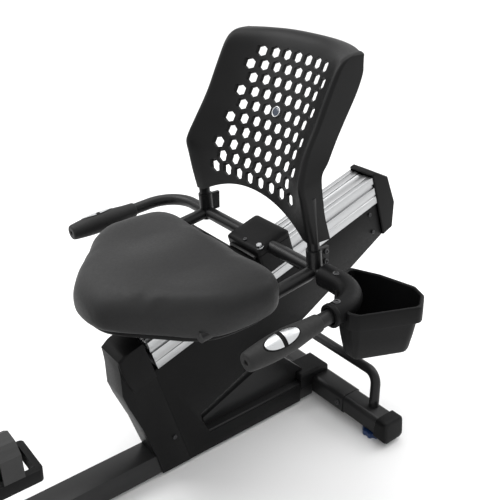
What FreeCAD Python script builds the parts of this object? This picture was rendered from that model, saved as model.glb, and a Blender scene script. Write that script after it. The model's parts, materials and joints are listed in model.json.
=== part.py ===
"""Recumbent exercise bike: a parametric assembly, one named sub-part per piece.

Frame: millimetres, +X towards the front of the bike, +Y to the rider's left, +Z up.
The origin is on the floor under the centre levelling foot of the main beam.
The seat rail has a frame of its own: "along" runs forward and down the rail, "off" stands
square to its top face, and both are measured from the middle of the seat carriage.
"""
import FreeCAD, Part
import Sketcher
import math
import os
from FreeCAD import Placement, Rotation, Vector

DIMENSIONS = {
    # main beam and floor supports
    "beam_width": 60, "beam_height": 50, "beam_bottom": 10,
    "beam_wall": 2.5, "beam_rear": -655, "beam_front": 590,
    "stabilizer_half": 262, "stabilizer_depth": 55, "stabilizer_height": 48,
    "stabilizer_bottom": 12, "stabilizer_corner": 12, "stabilizer_wall": 3,
    "sleeve_half": 138, "sleeve_growth": 2, "foot_cap_length": 28,
    "leveler_radius": 25, "leveler_height": 9.6, "leveler_stem_radius": 5,
    "leveler_spread": 222, "wheel_radius": 24, "wheel_width": 22, "wheel_spread": 222,
    "wheel_axle_radius": 4,
    "lift_tube_radius": 12, "lift_height": 134, "lift_bend": 34,
    # seat rail and its housing
    "rail_slope": 17.5, "rail_x": -495, "rail_z": 455, "rail_half_width": 38,
    "rail_height": 75, "rail_front": 328, "rail_rear": -350, "groove_top": 18,
    "groove_bottom": 30, "groove_depth": 5, "rail_wall": 4,
    "housing_half": 33, "housing_wall": 3, "gusset_half": 13, "post_half": 25,
    "nose_half": 40,
    # seat carriage
    "plate_wall": 4, "carriage_half_width": 44, "cover_half_width": 58, "cover_wall": 3,
    "cover_half_length": 52, "cover_top": 43, "cover_skirt": 30, "roller_radius": 9,
    "roller_width": 9, "roller_offset": 34, "roller_axle_radius": 4,
    "lever_radius": 6, "lever_along": 22, "apron_length": 50,
    "cross_tube_radius": 15, "cross_tube_x": -499, "cross_tube_z": 483, "post_y": 193,
    "post_radius": 16.5, "post_top_radius": 13, "socket_radius": 21, "seat_tube_radius": 14,
    "seat_tube_slope": 8, "pan_wall": 3, "seat_bottom": 440, "carriage_shift": -12, "seat_top": 525,
    # backrest
    "back_half_width": 184, "back_foot_half": 206, "back_wall": 5,
    "back_wrap_foot": 18, "back_wrap_top": 60,
    "back_bottom": 552, "back_arch": 604, "back_top": 930, "wing_wall": 5, "hex_flats": 26,
    "hex_pitch": 34, "hex_row_pitch": 32, "badge_radius": 13, "badge_height": 4,
    # side handles and bin
    "handle_radius": 14.3, "handle_y": 335, "handle_z": 476, "handle_bend": 80, "handle_rise": 8,
    "handle_fall": 16,
    "grip_rear": -374, "grip_front": -213,
    "elbow_radius": 26, "bin_wall": 3, "bin_rim_top": 486, "bin_rim_bottom": 452,
    "bin_bottom": 374,
    # drive
    "crank_x": 330, "crank_z": 310, "crank_radius": 165, "axle_radius": 8.5,
    "axle_half": 98, "arm_inner": 82, "arm_wall": 16, "pulley_radius": 125,
    "pulley_low_y": 24, "pulley_width": 12, "shell_radius": 24, "bearing_radius": 17.5,
    "shell_half": 18, "flywheel_x": 515, "flywheel_z": 262, "flywheel_radius": 110,
    "flywheel_width": 22, "flywheel_axle_radius": 8, "small_pulley_radius": 22,
    "belt_wall": 3, "idler_radius": 15, "idler_stud_radius": 5, "pedal_length": 96, "pedal_width": 92,
    "pedal_height": 24, "spindle_radius": 7, "shroud_half": 75, "shroud_wall": 3,
    # mast and console
    "mast_radius": 25, "mast_wall": 2.5, "mast_foot_x": 452, "mast_foot_z": 545,
    "mast_top_x": 396, "mast_top_z": 1130, "bar_radius": 14.3, "bar_half": 215,
    "bar_z": 985, "foam_radius": 18, "console_half_width": 140, "console_half_height": 102,
    "console_depth": 44, "console_x": 365, "console_z": 1178.7, "console_tilt": 30,
    # running clearances
    "clearance": 0.3, "running_fit": 0.05,
}

doc = FreeCAD.newDocument("exercise_bike")
sheet = doc.addObject("Spreadsheet::Sheet", "Sheet")
for row, (alias, value) in enumerate(DIMENSIONS.items(), start=1):
    sheet.set(f"A{row}", alias)
    sheet.set(f"B{row}", str(value))
    sheet.setAlias(f"B{row}", alias)
doc.recompute()

UP = Vector(0, 0, 1)
LEFT = Vector(0, 1, 0)
FORWARD = Vector(1, 0, 0)
SIDES = (("left", 1), ("right", -1))
NODES = []


def size(alias):
    """One driving dimension, read back from the sheet."""
    return float(sheet.get(alias))


def node(label, item):
    """Keep an object as a named sub-part."""
    item.Label = label
    NODES.append(item)
    return item


def feature(label, shape):
    """A sub-part whose shape no primitive or sketch describes."""
    item = doc.addObject("Part::Feature", label)
    item.Shape = shape
    return item


def bind(item, **expressions):
    for name, expression in expressions.items():
        item.setExpression(name, expression)


def bar(name, radius, length, start, along=LEFT):
    """A straight round bar; radius and length are sheet expressions."""
    item = doc.addObject("Part::Cylinder", name)
    bind(item, Radius=radius, Height=length)
    item.Placement = Placement(Vector(*start), Rotation(UP, Vector(*along)))
    return item


# ---------------------------------------------------------------- sketched bodies

def new_body(label):
    return doc.addObject("PartDesign::Body", label)


def sketch_on(body, role, offset=0.0):
    """A sketch on one of the body's own origin planes, moved along its normal."""
    plane = next(item for item in body.Origin.OriginFeatures if item.Role == role)
    sketch = body.newObject("Sketcher::SketchObject", f"{body.Name}_sketch")
    sketch.AttachmentSupport = (plane, [""])
    sketch.MapMode = "FlatFace"
    sketch.AttachmentOffset = Placement(Vector(0, 0, offset), Rotation())
    return sketch


def draw_outline(sketch, points):
    """Close a polyline through the points."""
    first = sketch.GeometryCount
    count = len(points)
    for index in range(count):
        start = Vector(*points[index], 0)
        end = Vector(*points[(index + 1) % count], 0)
        sketch.addGeometry(Part.LineSegment(start, end), False)
    for index in range(count):
        sketch.addConstraint(
            Sketcher.Constraint("Coincident", first + index, 2, first + (index + 1) % count, 1))


def draw_rectangle(sketch, centre, width, height):
    """A rectangle whose width and height are sheet expressions."""
    first = sketch.GeometryCount
    half_w = 5.0
    half_h = 5.0
    corners = [(-half_w, -half_h), (half_w, -half_h), (half_w, half_h), (-half_w, half_h)]
    draw_outline(sketch, [(centre[0] + x, centre[1] + y) for x, y in corners])
    for line, direction in ((0, "Horizontal"), (1, "Vertical"), (2, "Horizontal"), (3, "Vertical")):
        sketch.addConstraint(Sketcher.Constraint(direction, first + line))
    wide = sketch.addConstraint(Sketcher.Constraint("DistanceX", first, 1, first, 2, 2 * half_w))
    tall = sketch.addConstraint(
        Sketcher.Constraint("DistanceY", first + 1, 1, first + 1, 2, 2 * half_h))
    sketch.setExpression(f"Constraints[{wide}]", width)
    sketch.setExpression(f"Constraints[{tall}]", height)
    return first


def centre_rectangle(sketch, first, centre):
    """Hold a rectangle's middle at a fixed point of the sketch."""
    middle = sketch.addGeometry(Part.Point(Vector(*centre, 0)), True)
    sketch.addConstraint(Sketcher.Constraint("Symmetric", first, 1, first + 1, 2, middle, 1))
    sketch.addConstraint(Sketcher.Constraint("Block", middle))


def pad(body, sketch, length, midplane=False, reverse=False):
    item = body.newObject("PartDesign::Pad", f"{body.Name}_pad")
    item.Profile = sketch
    bind(item, Length=length)
    item.Midplane = midplane
    item.Reversed = reverse
    sketch.Visibility = False
    return item


def side_plate(label, outline, thickness, low_y=0.0, midplane=False):
    """A plate drawn in the XZ plane, thickness towards +Y from low_y, or about y = 0."""
    body = new_body(label)
    sketch = sketch_on(body, "XZ_Plane", -low_y)
    draw_outline(sketch, outline)
    pad(body, sketch, thickness, midplane=midplane, reverse=not midplane)
    return body


def box_tube(label, role, centre, offset, length, midplane=False):
    """A hollow rectangular tube; the names of its sizes start with the first word of label."""
    body = new_body(label)
    kind = "beam" if label == "main_beam" else "stabilizer"
    wide = f"Sheet.{kind}_width" if kind == "beam" else f"Sheet.{kind}_depth"
    tall = f"Sheet.{kind}_height"
    sketch = sketch_on(body, role, offset)
    outer = draw_rectangle(sketch, centre, wide, tall)
    centre_rectangle(sketch, outer, centre)
    inner = draw_rectangle(sketch, centre, f"{wide} - 2 * Sheet.{kind}_wall",
                           f"{tall} - 2 * Sheet.{kind}_wall")
    centre_rectangle(sketch, inner, centre)
    pad(body, sketch, length, midplane=midplane)
    return body


# ---------------------------------------------------------------- shape helpers

def on_rail(along, off, y=0.0):
    """A point of the rail frame, in the bike's frame."""
    slope = math.radians(size("rail_slope"))
    x = size("rail_x") + along * math.cos(slope) + off * math.sin(slope)
    z = size("rail_z") - along * math.sin(slope) + off * math.cos(slope)
    return Vector(x, y, z)


def rail_points(pairs):
    """Side-view points given in the rail frame, as (x, z) pairs."""
    return [(on_rail(*pair).x, on_rail(*pair).z) for pair in pairs]


def rail_placement():
    return Placement(on_rail(0, 0), Rotation(LEFT, size("rail_slope")))


def prism(outline, low_y, high_y):
    """A solid between two planes of constant y, over a side-view outline."""
    face = Part.Face(Part.makePolygon([Vector(x, low_y, z) for x, z in outline + outline[:1]]))
    return face.extrude(Vector(0, high_y - low_y, 0))


def block(low, high):
    """An upright block between two corners."""
    return Part.makeBox(*(b - a for a, b in zip(low, high)), Vector(*low))


def rounded(shape, radius, chosen):
    """Fillet the edges for which chosen(edge) is true."""
    edges = [edge for edge in shape.Edges if chosen(edge)]
    return shape.makeFillet(radius, edges)


def mirrored(shape):
    """The same shape on the other side of the bike's middle plane."""
    return shape.mirror(Vector(0, 0, 0), LEFT)


def bent_path(corners, bends):
    """Straight runs joined by tangent arcs, each corner with a radius of its own."""
    edges = []
    start = corners[0]
    for index, bend in enumerate(bends, start=1):
        corner = corners[index]
        into = (corner - corners[index - 1]).normalize()
        out = (corners[index + 1] - corner).normalize()
        turn = into.getAngle(out)
        back = bend * math.tan(turn / 2)
        first = corner - into * back
        last = corner + out * back
        middle = corner + (out - into).normalize() * (bend / math.cos(turn / 2) - bend)
        edges.append(Part.LineSegment(start, first).toShape())
        edges.append(Part.Arc(first, middle, last).toShape())
        start = last
    edges.append(Part.LineSegment(start, corners[-1]).toShape())
    return Part.Wire(edges)


def sweep_round(path, radius):
    """A round section carried along a path of straight runs and arcs."""
    first = path.OrderedEdges[0]
    start = first.valueAt(first.FirstParameter)
    along = first.tangentAt(first.FirstParameter)
    section = Part.Wire([Part.makeCircle(radius, start, along)])
    return path.makePipeShell([section], True, True)


def round_bar(radius, low, high):
    """A round bar between two points."""
    span = high - low
    return Part.makeCylinder(radius, span.Length, low, span)


def ring(outer, inner, low, high):
    return round_bar(outer, low, high).cut(round_bar(inner, low, high))


def across(x, z, low_y, high_y):
    """The two ends of a line along Y."""
    return Vector(x, low_y, z), Vector(x, high_y, z)


# ---------------------------------------------------------------- base frame

def make_main_beam():
    centre = (0, size("beam_bottom") + size("beam_height") / 2)
    beam = box_tube("main_beam", "YZ_Plane", centre, size("beam_rear"),
                    "Sheet.beam_front - Sheet.beam_rear")
    doc.recompute()
    stem = size("leveler_stem_radius") + 1
    hole = sketch_on(beam, "XY_Plane", size("beam_bottom"))
    hole.addGeometry(Part.Circle(Vector(0, 0, 0), UP, stem), False)
    hole.addConstraint(Sketcher.Constraint("Coincident", 0, 3, -1, 1))
    radius = hole.addConstraint(Sketcher.Constraint("Radius", 0, stem))
    hole.setExpression(f"Constraints[{radius}]", "Sheet.leveler_stem_radius + Sheet.clearance")
    pocket = beam.newObject("PartDesign::Pocket", "leveler_hole")
    pocket.Profile = hole
    pocket.Reversed = True
    bind(pocket, Length="Sheet.beam_wall + 1")
    node("main_beam", beam)


def stabilizer_shape(rear_x):
    """A cross tube with a thicker middle sleeve, holes below for the levelling stems."""
    bottom = size("stabilizer_bottom")
    height = size("stabilizer_height")
    depth = size("stabilizer_depth")
    half = size("stabilizer_half")
    grow = size("sleeve_growth")
    wall = size("stabilizer_wall")

    def along_y(edge):
        return abs(edge.tangentAt(edge.FirstParameter).y) > 0.99

    tube = block((rear_x, -half, bottom), (rear_x + depth, half, bottom + height))
    tube = rounded(tube, size("stabilizer_corner"), along_y)
    sleeve_half = size("sleeve_half")
    sleeve = block((rear_x - grow, -sleeve_half, bottom - 1),
                   (rear_x + depth + grow, sleeve_half, bottom + height + grow))
    sleeve = rounded(sleeve, size("stabilizer_corner"), along_y)
    hollow = block((rear_x + wall, -half, bottom + wall),
                   (rear_x + depth - wall, half, bottom + height - wall))
    hollow = rounded(hollow, size("stabilizer_corner") - wall, along_y)
    return tube.fuse(sleeve).cut(hollow)


def leveler_x(rear_x):
    return rear_x + size("stabilizer_depth") - 19


def make_rear_stabilizer():
    rear = size("beam_rear") - size("sleeve_growth") - size("stabilizer_depth")
    shape = stabilizer_shape(rear)
    bore = size("leveler_stem_radius") + size("clearance")
    for _, side in SIDES:
        low = Vector(leveler_x(rear), side * size("leveler_spread"), size("stabilizer_bottom") - 1)
        shape = shape.cut(Part.makeCylinder(bore, size("stabilizer_wall") + 2, low))
    node("rear_stabilizer", feature("rear_stabilizer", shape))


def wheel_centre():
    """Side-view place of the transport wheels' axles, just ahead of the front stabilizer."""
    front = size("beam_front") + size("sleeve_growth") + size("stabilizer_depth")
    return front + size("wheel_radius") + 1.2, size("wheel_radius") + 6


def make_front_stabilizer():
    """The front cross tube, with the ears and pins of the transport wheels."""
    shape = stabilizer_shape(size("beam_front") + size("sleeve_growth"))
    x, z = wheel_centre()
    tube_front = x - size("wheel_radius") - 1.2
    half = size("wheel_width") / 2
    for _, side in SIDES:
        middle = side * size("wheel_spread")
        for low_y in (middle - half - 4, middle + half + 1):
            shape = shape.fuse(block((tube_front - 1, low_y, z - 9), (x + 7, low_y + 3, z + 9)))
        pin = across(x, z, middle - half - 4, middle + half + 4)
        shape = shape.fuse(round_bar(size("wheel_axle_radius"), *pin))
    node("front_stabilizer", feature("front_stabilizer", shape))


def make_transport_wheels():
    """Two wheels that reach the floor only when the bike is tipped forwards."""
    x, z = wheel_centre()
    half = size("wheel_width") / 2
    wheels = []
    for _, side in SIDES:
        middle = side * size("wheel_spread")
        ends = across(x, z, middle - half, middle + half)
        wheels.append(ring(size("wheel_radius"), size("wheel_axle_radius") + size("running_fit"), *ends))
    node("transport_wheels", feature("transport_wheels", Part.Compound(wheels)))


def foot_cap(rear_x, side, to_floor):
    """A moulded end cap whose outer end slopes in; the front ones have a pad on the floor."""
    inner_y = size("stabilizer_half")
    length = size("foot_cap_length")
    depth = size("stabilizer_depth")
    low = size("stabilizer_bottom") - 2
    high = size("stabilizer_bottom") + size("stabilizer_height") + 2
    sections = []
    for y, inset in ((inner_y, 0), (inner_y + 0.6 * length, 1), (inner_y + length, 9)):
        corners = [(rear_x - 2 + inset, low + inset / 3), (rear_x + depth + 2 - inset, low + inset / 3),
                   (rear_x + depth + 2 - inset, high - inset), (rear_x - 2 + inset, high - inset)]
        points = [Vector(x, y, z) for x, z in corners]
        sections.append(Part.makePolygon(points + points[:1]))
    cap = Part.makeLoft(sections, True, True)
    if to_floor:
        middle = rear_x + depth / 2
        cap = cap.fuse(block((middle - 20, inner_y + 2, 0), (middle + 20, inner_y + 20, low + 1)))
    return cap if side > 0 else mirrored(cap)


def make_foot_caps():
    rear = size("beam_rear") - size("sleeve_growth") - size("stabilizer_depth")
    front = size("beam_front") + size("sleeve_growth")
    caps = [foot_cap(x, side, x == front) for x in (rear, front) for _, side in SIDES]
    node("foot_caps", feature("foot_caps", Part.Compound(caps)))


def leveler_shape(x, y, floor_gap):
    """A scalloped hand knob with its threaded stem standing in the frame above."""
    radius = size("leveler_radius")
    height = size("leveler_height") + floor_gap
    knob = Part.makeCylinder(radius, height, Vector(x, y, 0))
    for index in range(8):
        angle = index * math.pi / 4
        place = Vector(x + 1.16 * radius * math.cos(angle), y + 1.16 * radius * math.sin(angle), -1)
        knob = knob.cut(Part.makeCylinder(0.3 * radius, height + 2, place))
    stem = Part.makeCylinder(size("leveler_stem_radius"), 20, Vector(x, y, height - 0.5))
    return knob.fuse(stem)


def make_levelers():
    rear = size("beam_rear") - size("sleeve_growth") - size("stabilizer_depth")
    gap = size("stabilizer_bottom") - size("beam_bottom")
    for name, side in SIDES:
        shape = leveler_shape(leveler_x(rear), side * size("leveler_spread"), gap)
        node(f"leveler_{name}", feature(f"leveler_{name}", shape))
    node("leveler_centre", feature("leveler_centre", leveler_shape(0, 0, 0)))


def make_lift_handle():
    """A bent tube across the back, standing on the rear stabilizer."""
    base_z = size("stabilizer_bottom") + size("stabilizer_height")
    foot_x = size("beam_rear") - 38
    top_x = foot_x - 18
    top_z = size("lift_height")
    corners = [Vector(foot_x, 206, base_z), Vector(foot_x, 206, base_z + 16),
               Vector(top_x, 192, top_z)]
    path = corners + [Vector(v.x, -v.y, v.z) for v in reversed(corners)]
    outer_path = bent_path(path, (20, size("lift_bend"), size("lift_bend"), 20))
    radius = size("lift_tube_radius")
    shape = sweep_round(outer_path, radius).cut(sweep_round(outer_path, radius - 2))
    node("lift_handle", feature("lift_handle", shape))


def make_stabilizer_cover():
    """The moulded cap over the joint of the main beam and the rear stabilizer."""
    gap = size("clearance")
    beam_half = size("beam_width") / 2
    beam_top = size("beam_bottom") + size("beam_height")
    sleeve_top = size("stabilizer_bottom") + size("stabilizer_height") + size("sleeve_growth")
    rear = size("beam_rear")
    cover = block((rear - 50, -34, 40), (rear + 42, 34, sleeve_top + 20))
    cover = rounded(cover, 8, lambda edge: edge.CenterOfMass.z > sleeve_top + 19)
    cover = cover.cut(block((rear - 60, -beam_half - gap, 0), (rear + 60, beam_half + gap, beam_top + gap)))
    cover = cover.cut(block((rear - 60, -60, 0), (rear + gap, 60, sleeve_top + gap)))
    node("stabilizer_cover", feature("stabilizer_cover", cover))


def underside(x):
    """Height of the housing's slanted lower edge at x."""
    points = housing_underside()
    for (x1, z1), (x2, z2) in zip(points, points[1:]):
        if x2 <= x <= x1:
            return z1 + (z2 - z1) * (x - x1) / (x2 - x1)
    return points[-1][1]


def housing_underside():
    """The slanted lower edge, from the leg back to the end cap."""
    end = on_rail(size("rail_rear"), -175)
    return [(-311, 116), (-425, 166), (-621, 247), (-697, 288), (-778, 333), (end.x, end.z)]


def make_rear_gusset():
    """The three-sided stay between the main beam and the slanted housing."""
    top = size("beam_bottom") + size("beam_height")
    cover_top = size("stabilizer_bottom") + size("stabilizer_height") + size("sleeve_growth") + 20.3
    rear = size("beam_rear") + 42.5
    outline = [(-335, top), (-328, top + 23), (-520, 158), (-545, underside(-545)),
               (-600, underside(-600)), (-558, 158), (-636, cover_top), (rear, cover_top), (rear, top)]
    node("rear_gusset", side_plate("rear_gusset", outline, "2 * Sheet.gusset_half", midplane=True))


# ---------------------------------------------------------------- rail and housing

def make_rail_frame():
    """The welded inner frame: a leg on the main beam under a channel that holds the rail."""
    top = size("beam_bottom") + size("beam_height")
    under = -size("rail_height")
    rear, front = rail_points([(size("rail_rear") + 12, under), (size("rail_front") - 8, under)])
    low_rear, low_front = rail_points([(size("rail_rear") + 12, under - 28),
                                       (size("rail_front") - 8, under - 28)])
    leg_rear = (-263, low_front[1] + (low_front[0] + 263) * math.tan(math.radians(17.5)))
    outline = [(-316, top), (-276, top), (-216, low_front[1]), low_front, front, rear, low_rear, leg_rear]
    node("rail_frame", side_plate("rail_frame", outline, "2 * Sheet.post_half", midplane=True))


def make_rail():
    """The extruded aluminium rail: side grooves, step lines and a shallow top channel."""
    body = new_body("rail")
    half = size("rail_half_width")
    depth = size("groove_depth")
    height = size("rail_height")
    right = [(0, -3), (9, -3), (9, 0), (24, 0), (24, -2), (26, -2), (26, 0), (half, 0),
             (half, -size("groove_top")), (half - depth, -size("groove_top")),
             (half - depth, -size("groove_bottom")), (half, -size("groove_bottom")),
             (half, -50), (half - 2, -51), (half - 2, -55), (half, -56), (half, -height)]
    outline = right + [(-y, z) for y, z in reversed(right) if y > 0]
    sketch = sketch_on(body, "YZ_Plane", size("rail_rear"))
    draw_outline(sketch, outline)
    wall = size("rail_wall")
    inner = half - depth - wall
    draw_outline(sketch, [(-inner, -3 - wall), (inner, -3 - wall), (inner, -height + wall),
                          (-inner, -height + wall)])
    pad(body, sketch, "Sheet.rail_front - Sheet.rail_rear")
    body.Placement = rail_placement()
    node("rail", body)


def housing_outline():
    """Side view of one housing panel: leg, slanted arm and the strip along the main beam."""
    seam = rail_points([(337, -size("rail_height") - 3), (size("rail_rear"), -size("rail_height") - 3)])
    lower = housing_underside()
    return ([(-280, 8), (-209, 242)] + seam + list(reversed(lower))
            + [(-315, 96), (-336, 54), (size("beam_rear") + 42.3, 54), (size("beam_rear") + 42.3, 8)])


def make_rail_housing():
    """Two moulded side panels with a lip that closes the underside of the arm."""
    half = size("housing_half")
    wall = size("housing_wall")
    for name, side in SIDES:
        panel = prism(housing_outline(), half - wall, half)
        lower = housing_underside()
        corner = on_rail(size("rail_rear"), -175 + wall)
        upper = [(corner.x, corner.z)] + [(x, z + wall) for x, z in reversed(lower[:-1])]
        lip = prism(lower + upper, size("post_half") + 0.5, half - wall + 0.5)
        shape = panel.fuse(lip)
        if side < 0:
            shape = mirrored(shape)
        node(f"rail_housing_{name}", feature(f"rail_housing_{name}", shape))


def make_nose_cover():
    """The moulded front of the leg, up and over the front end of the rail."""
    gap = size("clearance")
    front_curve = [(-207, 8), (-195, 54), (-164, 146), (-132, 220), (-121, 252), (-119, 304)]
    top = rail_points([(398, 2), (384, 8), (337.3, 8)])
    seam = rail_points([(337.3, -size("rail_height") - 3)])
    outline = [(-279.6, 8)] + front_curve + top + seam + [(-208.6, 242)]
    half = size("housing_half")
    slim = prism(outline, -half, half)
    head_points = rail_points([(337.3, 8), (384, 8), (398, 2), (402, -40), (394, -88), (337.3, -88)])
    head = prism(head_points, -size("nose_half"), size("nose_half"))
    head = rounded(head, 6, lambda edge: edge.CenterOfMass.x > head_points[1][0] + 4
                   and abs(abs(edge.CenterOfMass.y) - size("nose_half")) < 0.1)
    wall = size("housing_wall")
    hollow_front = [(x - wall - 1, z) for x, z in front_curve]
    hollow_front[0] = (-212, 0)
    hollow = prism([(-300, 0)] + hollow_front + rail_points([(392, -8), (330, -8), (330, -70)])
                   + [(-230, 235)], -half + wall, half - wall)
    beam_half = size("beam_width") / 2
    beam_top = size("beam_bottom") + size("beam_height")
    tunnel = block((-320, -beam_half - gap, 0), (-150, beam_half + gap, beam_top + gap))
    shape = slim.fuse(head).cut(hollow).cut(tunnel)
    node("nose_cover", feature("nose_cover", shape.removeSplitter()))


def make_rail_end_cap():
    """The moulded cap over the rear end of the rail and of the housing."""
    rear = size("rail_rear") - size("clearance")
    outline = rail_points([(rear, 8), (rear - 14, 8), (rear - 50, -26), (rear - 57, -107),
                           (rear - 34, -172), (rear, -175)])
    inner = rail_points([(rear + 1, 4), (rear - 12, 4), (rear - 45, -27), (rear - 52, -106),
                         (rear - 31, -168), (rear + 1, -171)])
    half = size("nose_half")
    cap = prism(outline, -half, half)
    cap = rounded(cap, 5, lambda edge: edge.CenterOfMass.x < outline[0][0] - 4
                  and abs(abs(edge.CenterOfMass.y) - half) < 0.1)
    shape = cap.cut(prism(inner, -half + 4, half - 4))
    node("rail_end_cap", feature("rail_end_cap", shape))


def hex_bolt(start, along, radius, height):
    """A domed screw head with a hexagon socket."""
    along = along.normalize()
    head = Part.makeCylinder(radius, height, start, along)
    head = rounded(head, height * 0.45, lambda edge: (edge.CenterOfMass - start).dot(along) > height * 0.9)
    socket = Part.makeCylinder(radius * 0.45, height * 0.6, start + along * height * 0.5, along)
    return head.cut(socket)


def make_frame_fasteners():
    """Screw heads on the housing and on the rear stabilizer's front face."""
    half = size("housing_half")
    heads = []
    for _, side in SIDES:
        out = Vector(0, side, 0)
        for along, off in ((-322, -96), (-322, -150), (120, -100), (-60, -110)):
            place = on_rail(along, off, side * half)
            heads.append(hex_bolt(place, out, 5, 3))
        heads.append(hex_bolt(Vector(-240, side * half, 90), out, 5, 3))
        face_x = size("beam_rear")
        heads.append(hex_bolt(Vector(face_x, side * 122, 38), FORWARD, 7, 4))
    node("frame_fasteners", feature("frame_fasteners", Part.Compound(heads)))


# ---------------------------------------------------------------- seat carriage

def make_carriage_frame():
    """A steel saddle: two side plates with lips in the rail's grooves, tied across the top."""
    half = size("carriage_half_width")
    wall = size("plate_wall")
    length = size("cover_half_length") - 4
    shift = size("carriage_shift")
    shape = None
    for _, side in SIDES:
        low_y, high_y = sorted((side * (half - wall), side * half))
        plate = block((shift - length, low_y, -34), (shift + length, high_y, 24))
        lip_low, lip_high = sorted((side * (size("rail_half_width") - 4.4), side * (half - wall)))
        lip = block((shift - length, lip_low, -27), (shift + length, lip_high, -21))
        shape = plate.fuse(lip) if shape is None else shape.fuse(plate).fuse(lip)
    for sign in (-1, 1):
        low_x, high_x = sorted((sign * 30, sign * length))
        shape = shape.fuse(block((shift + low_x, -half, 20), (shift + high_x, half, 24)))
    shape.Placement = rail_placement()
    cross = round_bar(size("cross_tube_radius"),
                      *across(size("cross_tube_x"), size("cross_tube_z"), -60, 60))
    shape = shape.cut(cross)
    for along in (-size("roller_offset"), size("roller_offset")):
        place = on_rail(shift + along, size("roller_radius") + size("clearance"))
        hole = size("roller_axle_radius") + size("running_fit")
        shape = shape.cut(round_bar(hole, *across(place.x, place.z, -60, 60)))
    pivot = lever_pivot()
    hole = size("lever_radius") + size("running_fit")
    shape = shape.cut(round_bar(hole, *across(pivot.x, pivot.z, -60, 0)))
    node("carriage_frame", feature("carriage_frame", shape))


def lever_pivot():
    return on_rail(size("lever_along"), -14)


def make_carriage_cover():
    """The moulded cover of the carriage, with a split line and a way out for the cross tube."""
    half = size("cover_half_width")
    length = size("cover_half_length")
    top = size("cover_top")
    wall = size("cover_wall")
    skirt = -size("cover_skirt")
    shell = block((-length, -half, skirt), (length, half, top))
    shell = rounded(shell, 9, lambda edge: edge.CenterOfMass.z > top - 0.1)
    hollow = block((-length + wall, -half + wall, skirt - 1), (length - wall, half - wall, top - wall))
    shell = shell.cut(hollow)
    seam = block((-length - 1, -half - 1, 24), (length + 1, half + 1, 25.5))
    seam = seam.cut(block((-length + 1, -half + 1, 20), (length - 1, half - 1, 30)))
    shell = shell.cut(seam)
    reach = length + size("apron_length")
    apron = block((length - wall, 5 - half, skirt), (reach, half - 5, 16))
    apron_half = half - wall - 5
    apron = apron.cut(block((length - wall - 1, -apron_half, skirt - 1), (reach - wall, apron_half, 13)))
    shell = shell.fuse(apron)
    rail_way = block((-length - 1, -size("rail_half_width") - 1, skirt - 1),
                     (reach + 1, size("rail_half_width") + 1, 3))
    shell = shell.cut(rail_way)
    shell.Placement = Placement(on_rail(size("carriage_shift"), 0), Rotation(LEFT, size("rail_slope")))
    cross = round_bar(size("cross_tube_radius") + size("clearance"),
                      *across(size("cross_tube_x"), size("cross_tube_z"), -70, 70))
    pivot = lever_pivot()
    lever_way = round_bar(size("lever_radius") + size("clearance"), *across(pivot.x, pivot.z, -70, 0))
    node("carriage_cover", feature("carriage_cover", shell.cut(cross).cut(lever_way)))


def make_rollers():
    """Two wheel sets that run on the rail's top tracks."""
    track = 17
    half_wheel = size("roller_width") / 2
    for name, along in (("front", size("roller_offset")), ("rear", -size("roller_offset"))):
        place = on_rail(size("carriage_shift") + along, size("roller_radius") + size("clearance"))
        axle_half = size("carriage_half_width")
        shape = round_bar(size("roller_axle_radius"), *across(place.x, place.z, -axle_half, axle_half))
        for _, side in SIDES:
            low_y = side * track - half_wheel
            shape = shape.fuse(round_bar(size("roller_radius"),
                                         *across(place.x, place.z, low_y, low_y + 2 * half_wheel)))
        node(f"roller_{name}", feature(f"roller_{name}", shape.removeSplitter()))


def make_lock():
    """The rider's seat lever on the right and the shoe that it lifts off the rail."""
    pivot = lever_pivot()
    radius = size("lever_radius")
    inner_y = -size("rail_half_width") - 1.2
    outer_y = -252
    shaft = round_bar(radius, *across(pivot.x, pivot.z, outer_y, inner_y))
    paddle_end = Vector(pivot.x + 118, outer_y + 6, pivot.z + 4)
    arm = round_bar(radius + 1, Vector(pivot.x, outer_y + 6, pivot.z), paddle_end)
    grip = round_bar(11, paddle_end - Vector(70, 0, 2.4), paddle_end)
    end = Part.makeSphere(11, paddle_end)
    node("lock_lever", feature("lock_lever", shaft.fuse(arm).fuse(grip).fuse(end).removeSplitter()))
    shoe = block((-18, -8, -2), (18, 8, 7))
    shoe.Placement = rail_placement()
    node("brake_shoe", feature("brake_shoe", shoe))


def seat_tube_z(x):
    """Height of the seat's side tubes at x."""
    slope = math.tan(math.radians(size("seat_tube_slope")))
    return size("cross_tube_z") - (x - size("cross_tube_x")) * slope


def handle_corners(side):
    y = side * size("handle_y")
    return [Vector(size("cross_tube_x"), side * size("post_y"), size("cross_tube_z")),
            Vector(size("cross_tube_x"), y, size("handle_z") + size("handle_rise")),
            Vector(size("grip_front") + 4, y, size("handle_z") - size("handle_fall"))]


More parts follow.
